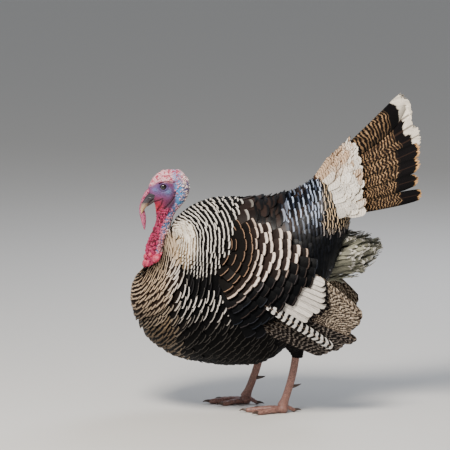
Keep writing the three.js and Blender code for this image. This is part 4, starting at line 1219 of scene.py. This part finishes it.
# %% Body pieces
# the ring at which the breast ends and the belly begins
BREAST_END = 6.5
is_mantle = in_mantle > 0.5
is_back = ((in_shoulder > 0.5) | (in_back > 0.5) | (in_rump_end > 0.5)) & ~is_mantle
is_breast = ~is_mantle & ~is_back & (root_u < BREAST_END)
is_belly = ~is_mantle & ~is_back & ~is_breast
PIECES = {"mantle": (is_mantle, body_feather, ["mantle"]), "back": (is_back, glossy_feather, ["back", "rump"]),
          "breast": (is_breast, body_feather, ["breast"]), "belly": (is_belly, body_feather, ["belly"])}
for name, (chosen, material, solids) in PIECES.items():
    w = np.flatnonzero(chosen)
    made = vanes(body_surface, root_u[w], root_turn[w], body_aim[w], length[w], width[w], body_root[w], body_tip[w],
                 stand[w], roll=0.5 * noise[5][w], round_tip=tip_round[w], ruffle=0.07 - 0.02 * in_mantle[w], seed=5)
    looks = {"ground": ground[w], "band": band[w], "bars": bars[w], "gloss": gloss[w]}
    coat("coat_" + name, name + "_feathers", material, made, looks, solids,
         ring_bake(root_u[w], root_turn[w], RING_COUNT))

# %% [markdown]
# ## Wings
# The wings droop beside the body, half let down. The outer face of each is a shallow dome. Small coverts
# lie on it in rows about the shoulder, then come the white bar of greater coverts, the mottled
# secondaries and, lowest, the barred primaries.

# %% Wing surface
# columns: x, distance of the wing's outer face from the middle plane
WING_SPAN = [(-230, 140), (-170, 165), (-120, 174), (-60, 180), (0, 179), (60, 169), (110, 156), (160, 143),
             (215, 129)]
WING_ARCH = 0.00165
WING_MIDDLE = 290
SHOULDER = np.array([-182, 432])


def wing_surface(side):
    """y = span(x) - arch (z - middle)², on one side; u is x and v is z."""
    table = np.array(WING_SPAN, float)
    sign = LEGS[side]["sign"]

    def surface(u, v):
        reach = np.interp(u, table[:, 0], table[:, 1])
        return np.stack([u, sign * (reach - WING_ARCH * (v - WING_MIDDLE) ** 2), v], axis=-1)
    return surface


def wing_bake(x, z):
    """The place of a root in OFBake: x and z of the wing over half a metre."""
    return np.stack([(x + 250) / 500, (z - 100) / 500], axis=1)


print("wing from", WING_SPAN[0][0], "to", WING_SPAN[-1][0], "mm")

# %% [markdown]
# ### Coverts
# The roots of the coverts stand in rows of one radius about the shoulder, between an upper and a lower
# angle, and end at the white bar. The ones in the middle of the wing have bold pale edges, and the lowest
# are dusky blue.

# %% Covert roots
COVERT_ROWS, COVERT_STEP = 15, 18
# at these radii the rows start and end at these angles, and at these angles they stop at these radii
COVERT_TOP = ([40, 100, 150, 206, 293], [0.65, 0.42, 0.22, -0.05, -0.26])
COVERT_LOW = ([38, 60, 100, 164, 237, 290], [-0.55, -0.75, -0.98, -1.06, -0.92, -0.80])
COVERT_END = ([-1.1, -0.86, -0.70, -0.30, 0.2], [222, 212, 196, 246, 272])
covert_r, covert_angle = [], []
radii = 38 + 14.0 * np.arange(COVERT_ROWS) + 0.35 * np.arange(COVERT_ROWS) ** 2
for k, radius in enumerate(radii):
    top, low = np.interp(radius, *COVERT_TOP), np.interp(radius, *COVERT_LOW)
    number = int((top - low) * radius / COVERT_STEP) + 1
    angle = np.linspace(top, low, number) + (0.5 * (k % 2)) * (low - top) / number
    covert_r.append(np.full(number, radius))
    covert_angle.append(angle)
covert_r, covert_angle = np.concatenate(covert_r), np.concatenate(covert_angle)
inside = covert_r < np.interp(covert_angle, *COVERT_END)
covert_angle, covert_r = covert_angle[inside], covert_r[inside]
wobble = np.random.default_rng(21).normal(size=(5, len(covert_r)))
covert_x = SHOULDER[0] + (covert_r + 1.2 * wobble[0]) * np.cos(covert_angle + 0.006 * wobble[1])
covert_z = SHOULDER[1] + (covert_r + 1.2 * wobble[0]) * np.sin(covert_angle + 0.006 * wobble[1])
edge_gap = (np.interp(covert_r, *COVERT_TOP) - covert_angle) * covert_r
covert_sink = -14 * smooth_step(26, 0, edge_gap) - 12 * smooth_step(75, 40, covert_r)
print("covert rows", COVERT_ROWS, "to", round(float(covert_r.max())), "mm from the shoulder")

# %% Covert looks
count = len(covert_r)
tip_x, tip_z = covert_x + 36 * np.cos(covert_angle), covert_z + 36 * np.sin(covert_angle)
dusk = smooth_step(14, -14, tip_z - 322 - 0.55 * (tip_x + 74)) * smooth_step(40, 80, covert_r)
bold = smooth_step(85, 112, covert_r) * smooth_step(225, 195, covert_r) * (1 - dusk)
ground = layered(count, "0D0A08", [("2E211C", 0.7 * bold), ("050608", dusk)])
band = layered(count, "B48F74", [("F0DFD2", bold), ("4A5160", dusk * (0.85 + 0.15 * wobble[4])),
                                 ("7A6557", dusk * smooth_step(0.4, 1.0, wobble[3]) * 0.8)])
share = 0.06 + 0.09 * bold - 0.025 * dusk
bars = np.stack([0.96 - 1.2 * share + 0.01 * wobble[4], np.ones(count), share], axis=1)
covert_looks = {"ground": ground, "band": band, "bars": bars, "gloss": 0.25 + 0.55 * dusk}
print("coverts on each wing", count)

# %% [markdown]
# ### Large feathers
# Each row of large feathers is a few named sizes: how many there are, the lines in side view on which their
# roots and tips stand, half their width, how far the first and the last stand out, how far they bow down,
# how deep the roots are sunk, and how round the tips are. The white bar has dark tips.

# %% Large wing feathers
LARGE_ROWS = {
    "white_bar": dict(
        number=9, roots=[(-22, 298), (22, 334), (62, 364)], tips=[(72, 236), (130, 284), (126, 340)], half=11,
        rises=(8, 11), bow=0.03, sunk=14, rows=16, round_tip=0.9, material=bar_feather, slot="wing_bar_feathers",
        solid="bar", ground=colour("DDD4CA"), band=colour("E6DED4"), bars=(0.05, 1, 0.78), gloss=0.1,
        ends=(0.91, 2, 0)),
    "secondaries": dict(
        number=12, roots=[(22, 398), (70, 275)], tips=[(212, 256), (188, 214)], half=14, rises=(3, -5), bow=0.13,
        sunk=3, rows=24, round_tip=1.3, material=large_feather, slot="flight_feathers", solid="secondaries",
        ground=colour("2A1F1A"), band=colour("DCC8B0"), bars=(0.05, 0.050, 0.54), gloss=0.3),
    "primaries": dict(
        number=8, roots=[(44, 268), (-42, 232)], tips=[(208, 190), (120, 150)], half=11, rises=(-3, -13), bow=0.05,
        sunk=3, rows=24, round_tip=1.6, material=large_feather, slot="flight_feathers", solid="primaries",
        ground=colour("1C1817"), band=colour("9A8E84"), bars=(0.05, 0.070, 0.34), gloss=0.3),
    "leading_primary": dict(
        number=1, roots=[(-26, 292)], tips=[(142, 182)], half=11.5, rises=(11, 11), bow=0.04, sunk=3, rows=24,
        round_tip=1.2, material=barred_feather, slot="flight_feathers", solid=None,
        ground=colour("171313"), band=colour("EFE9E2"), bars=(0.03, 0.078, 0.50), gloss=0.3),
}


def on_line(line, number):
    """Points spread evenly by index along a line of (x, z) points."""
    at = np.linspace(0, 1, number)
    return np.stack([np.interp(at, np.linspace(0, 1, len(line)), column) for column in np.array(line).T], axis=1)


def large_piece(name, side, row):
    """One row of large feathers on one wing: aim = tip - root, turned up by the bow that the vane adds again."""
    root = on_line(row["roots"], row["number"])
    span = on_line(row["tips"], row["number"]) - root
    length = np.linalg.norm(span, axis=1)
    down = np.stack([span[:, 1], -span[:, 0]], axis=1) / length[:, None]
    shift = row["bow"] * length
    aim = span - down * shift[:, None]
    rise = np.linspace(*row["rises"], row["number"])
    sign = LEGS[side]["sign"]
    made = vanes(wing_surface(side), root[:, 0], root[:, 1], np.insert(aim, 1, 0, axis=1),
                 np.linalg.norm(aim, axis=1), row["half"], root=rise - row["sunk"], tip=rise, camber=0.10,
                 rows=row["rows"], columns=7, round_tip=row["round_tip"], ruffle=0.02, outward=sign,
                 shift=sign * shift, roll=2.2 * sign, seed=9)
    solids = [f"wing_{side}_{row['solid']}"] if row["solid"] else []
    coat(f"coat_{name}_{side}", row["slot"], row["material"], made, row, solids, wing_bake(*root.T))


# %% Wing pieces
for side, leg in LEGS.items():
    aim = np.stack([np.cos(covert_angle), 0 * covert_r, np.sin(covert_angle)], axis=1)
    made = vanes(wing_surface(side), covert_x, covert_z, aim, 38 + 0.07 * covert_r, 15.5, root=-8 + covert_sink,
                 tip=7 + 0.6 * covert_sink, stand=1.0 + 0.7 * np.abs(wobble[2]), roll=0.6 * wobble[3],
                 outward=leg["sign"], round_tip=0.2, ruffle=0.05, seed=8)
    coat("coat_coverts_" + side, "wing_covert_feathers", body_feather, made, covert_looks,
         [f"wing_{side}_coverts"], wing_bake(covert_x, covert_z))
    for name, row in LARGE_ROWS.items():
        large_piece(name, side, row)

# %% [markdown]
# ## Tail
# Eighteen broad feathers fan out from the rump. They are brown with fine rusty bars, then a black band,
# then a cream tip that is frayed on the central ones. Cream coverts hide their lower halves.

# %% Tail surface
TAIL_COUNT = 18


def tail_root(share):
    """The arc of the roots on the rump: it falls and moves back as share squared."""
    return np.stack([105 + 50 * share**2, 62 * share, 590 - 97 * share**2], axis=-1)


def tail_tip(share):
    """The arc of the tips: across by a sine, down as |share| to the power 1.5."""
    return np.stack([311.6 + 48 * (1 - (1 - np.abs(share)) ** 3), 205 * np.sin(1.2 * share) / math.sin(1.2),
                     788 - 237 * np.abs(share) ** 1.5], axis=-1)


def tail_surface(u, v):
    """Straight lines from the root arc (u = 0) to the tip arc (u = 1) at share v of the fan, -1 left to 1."""
    u, v = np.broadcast_arrays(np.asarray(u, float), np.asarray(v, float))
    return tail_root(v) + (tail_tip(v) - tail_root(v)) * u[..., None]


print("tail feathers", TAIL_COUNT, "up to", round(float(tail_tip(np.zeros(1))[0, 2])), "mm above the floor")

# %% Tail feathers
share = -1 + 2 * (np.arange(TAIL_COUNT) + 0.5) / TAIL_COUNT
from_middle = np.abs(share)
lie, _, _ = slopes(tail_surface, 0 * share, share)
uneven = 0.04 * np.random.default_rng(31).random(TAIL_COUNT)
tail_length = np.linalg.norm(lie, axis=1) * (0.975 + uneven - 0.10 * (share > 0.45))
half = np.interp(from_middle, [0, 0.40, 0.58, 1], [27, 25, 13, 11.5])
finger = smooth_step(0.42, 0.62, from_middle)
layer = 5 - 6.5 * from_middle
central = smooth_step(0.62, 0.50, from_middle)
for name, first, last in (("left_outer", 0, 4), ("left_inner", 4, 9), ("right_inner", 9, 14),
                          ("right_outer", 14, 18)):
    w = np.arange(first, last)
    made = vanes(tail_surface, 0 * share[w], share[w], lie[w], tail_length[w], half[w], root=layer[w] - 2,
                 tip=layer[w], camber=0.10, rows=44, columns=25, round_tip=0.62 + 0.7 * finger[w], taper=0.32,
                 ruffle=0.015, fray=8.0, outward=-1, roll=-2.0 * np.sign(share[w]), seed=40 + first)
    tan = 1 - central[w]
    looks = {"ground": colour("17100D"), "band": colour("A98763"), "bars": (0.02, 0.034, 0.36), "gloss": 0.25,
             "ends": np.stack([0.80 - 0.04 * tan, 0.905 + 0.062 * tan, tan], axis=1)}
    place = np.stack([0.03 + 0.9 * (share[w] + 1) / 2, np.full(len(w), 0.5)], axis=1)
    coat("coat_tail_" + name, "tail_feathers", tail_feather, made, looks, ["tail_" + name], place, (0.04, 0.94))

# %% [markdown]
# ### Tail coverts
# Upper tail coverts are cream with sparse brown bars and lie over the lower half of the fan in rows.

# %% Tail coverts
row_at = np.linspace(-0.03, 0.25, 9)
PER_ROW = 25
covert_v = np.concatenate([np.linspace(-0.98, 0.98, PER_ROW) + 0.04 * (k % 2) for k in range(len(row_at))])
covert_v = np.clip(covert_v + 0.012 * np.random.default_rng(33).normal(size=len(covert_v)), -1, 1)
covert_u = np.repeat(row_at, PER_ROW) * (1 - 0.30 * np.abs(covert_v))
lie, _, _ = slopes(tail_surface, covert_u, covert_v)
outer = np.random.default_rng(34).random(len(covert_u))
brown = smooth_step(0.62, 0.25, np.abs(covert_v)) * smooth_step(0.26, 0.10, covert_u)
brown = np.clip(brown * (0.6 + 0.6 * outer) + 0.9 * (outer > 0.8) * smooth_step(0.1, 0.2, covert_u), 0, 1)
looks = {"ground": layered(len(covert_u), "D6C9B6", [("3E2A1E", brown * 1.2)]),
         "band": layered(len(covert_u), "F8F2E8", [("C99F74", 0.8 * brown)])}
shake = np.random.default_rng(37).normal(size=(3, len(covert_u)))
covert_set = vanes(tail_surface, covert_u, covert_v, unit(lie) + 0.07 * shake.T, 50 + 20 * outer, 9.5, root=3.0,
                   tip=9 + 3 * outer, stand=2.0 * np.abs(shake[0]), roll=1.2 * shake[1], camber=0.12, rows=9,
                   columns=9, round_tip=0.9, fray=4.0, outward=-1, seed=35)
for side_name, chosen in (("left", covert_v < 0), ("right", covert_v >= 0)):
    w = np.flatnonzero(chosen)
    coat("coat_tail_coverts_" + side_name, "tail_covert_feathers", body_feather, tuple(a[w] for a in covert_set),
         {"ground": looks["ground"][w], "band": looks["band"][w], "bars": (0.1, 0.13, 0.72), "gloss": 0.15},
         ["tail_coverts_" + side_name], np.stack([covert_u[w], (covert_v[w] + 1) / 2], axis=1))

# %% [markdown]
# ### Under the tail
# Soft grey feathers with white ends hang loose under the tail.

# %% Undertail
# columns: x, z, half depth, half width
UNDERTAIL = [(112, 372, 60, 60), (160, 386, 54, 54), (205, 397, 42, 44), (238, 408, 26, 28), (258, 416, 10, 12),
             (264, 419, 1, 1)]


def undertail_surface(u, v):
    """An oval tube about a rising path: up = depth cos v, across = width sin v."""
    u, v = np.broadcast_arrays(np.asarray(u, float), np.asarray(v, float))
    row = through(UNDERTAIL, u)
    return np.stack([row[..., 0] - 0.25 * row[..., 2] * np.cos(v), -row[..., 3] * np.sin(v),
                     row[..., 1] + row[..., 2] * np.cos(v)], axis=-1)


# %% Roots in rings
def ring_roots(rings, number, shift):
    """Roots in closed rings: number of them round each, moved on by shift in every other ring."""
    v = np.tile(np.linspace(0, 2 * np.pi, number, endpoint=False), len(rings))
    return np.repeat(rings, number), v + np.repeat(shift * (np.arange(len(rings)) % 2), number)


# %% Undertail feathers
rows_u, rows_v = ring_roots(np.linspace(0, 4.0, 13), 30, 0.1)
thinned = np.random.default_rng(39).random(len(rows_u)) < np.interp(rows_u, [0, 3, 4], [1, 0.7, 0.35])
rows_u, rows_v = rows_u[thinned], rows_v[thinned]
stray = np.random.default_rng(36)
lie = unit(slopes(undertail_surface, rows_u, rows_v)[0])
lie = lie + 0.3 * stray.normal(size=lie.shape)
number = len(rows_u)
ground = layered(number, "B2B09A", [("55534A", stray.random(number) * 0.8)])
bars = np.stack([0.80 + 0.1 * stray.random(number), np.ones(number), np.full(number, 0.3)], axis=1)
length = (46 + 34 * stray.random(number)) * np.interp(rows_u, [0, 3, 4], [1, 0.75, 0.5])
stand = 14 * stray.random(number) * np.interp(rows_u, [0, 3, 4], [1, 0.6, 0.2])
made = vanes(undertail_surface, rows_u, rows_v, lie, length, 4.6, root=-8, tip=1, stand=stand, rows=9, columns=5,
             camber=0.3, round_tip=1.2, fray=6.0, seed=37)
looks = {"ground": ground, "band": colour("DDD8CE"), "bars": bars, "gloss": 0.1}
coat("coat_undertail", "undertail_feathers", body_feather, made, looks, ["undertail_coverts"],
     ring_bake(rows_u, rows_v, 4))

# %% [markdown]
# ### Thigh feathers
# Small black feathers run down each thigh in rings and grow smaller to the hock.

# %% Thigh coat
rows_u, rows_v = ring_roots(np.arange(0.0, 4.7, 0.36), 16, 0.2)
size = np.interp(rows_u, [0, 3, 4, 4.7], [1.0, 0.75, 0.45, 0.35])
looks = {"ground": colour("0B0A0C"), "band": colour("2E2B2D"), "bars": (0.86, 1.0, 0.06), "gloss": 0.3}
for side_name in THIGH_PATHS:
    lie, _, normal = slopes(thigh_surface(side_name), rows_u, rows_v)
    outward = float(np.sign((normal[:, 0] * np.cos(rows_v) + normal[:, 1] * np.sin(rows_v)).sum()))
    made = vanes(thigh_surface(side_name), rows_u, rows_v, lie, 30 * size, 11 * size, root=-6 * size, tip=1.0,
                 stand=1.0, outward=outward, seed=38)
    coat("coat_thigh_" + side_name, "belly_feathers", body_feather, made, looks, [],
         ring_bake(rows_u, rows_v, 4.5))

# %% [markdown]
# ## Studio
# A pale seamless floor, a broad soft light high on the near side, and a weaker one from behind to
# outline the back.

# %% Floor and lights
# the floor reaches past the view on every side, in metres
FLOOR_SIZE = 240
WORLD_STRENGTH = 0.38
bpy.ops.mesh.primitive_plane_add(size=FLOOR_SIZE, location=(0, 0, 0))
floor = bpy.context.object
floor.name = "floor"
floor.data.materials.append(new_material("pale floor", Base_Color=colour("D4D2CE"), Roughness=0.8)[0])

world = bpy.data.worlds.new("studio")
bpy.context.scene.world = world
world.use_nodes = True
background = world.node_tree.nodes["Background"]
background.inputs["Color"].default_value = colour("E4E8EE")
background.inputs["Strength"].default_value = WORLD_STRENGTH


def area_light(name, place, target, size, power, hex_code):
    """A square soft light at a place, turned to its target."""
    light = bpy.data.lights.new(name, "AREA")
    light.size, light.energy, light.color = size, power, colour(hex_code)[:3]
    lamp = bpy.data.objects.new(name, light)
    lamp.location = place
    aim = np.array(target, float) - place
    yaw, pitch = math.atan2(aim[1], aim[0]) - math.pi / 2, math.acos(-aim[2] / np.linalg.norm(aim))
    lamp.rotation_euler = (pitch, 0, yaw)
    bpy.context.collection.objects.link(lamp)


area_light("key", (-0.9, -2.0, 3.0), (0, 0, 0.4), 1.1, 190, "FFF8EE")
area_light("rim", (1.2, 2.4, 2.6), (0, 0, 0.5), 1.5, 60, "E8F0FF")
area_light("fill", (-2.6, -1.2, 1.1), (0, 0, 0.4), 1.6, 14, "FFFFFF")
print("lights", [light.name for light in bpy.data.lights])
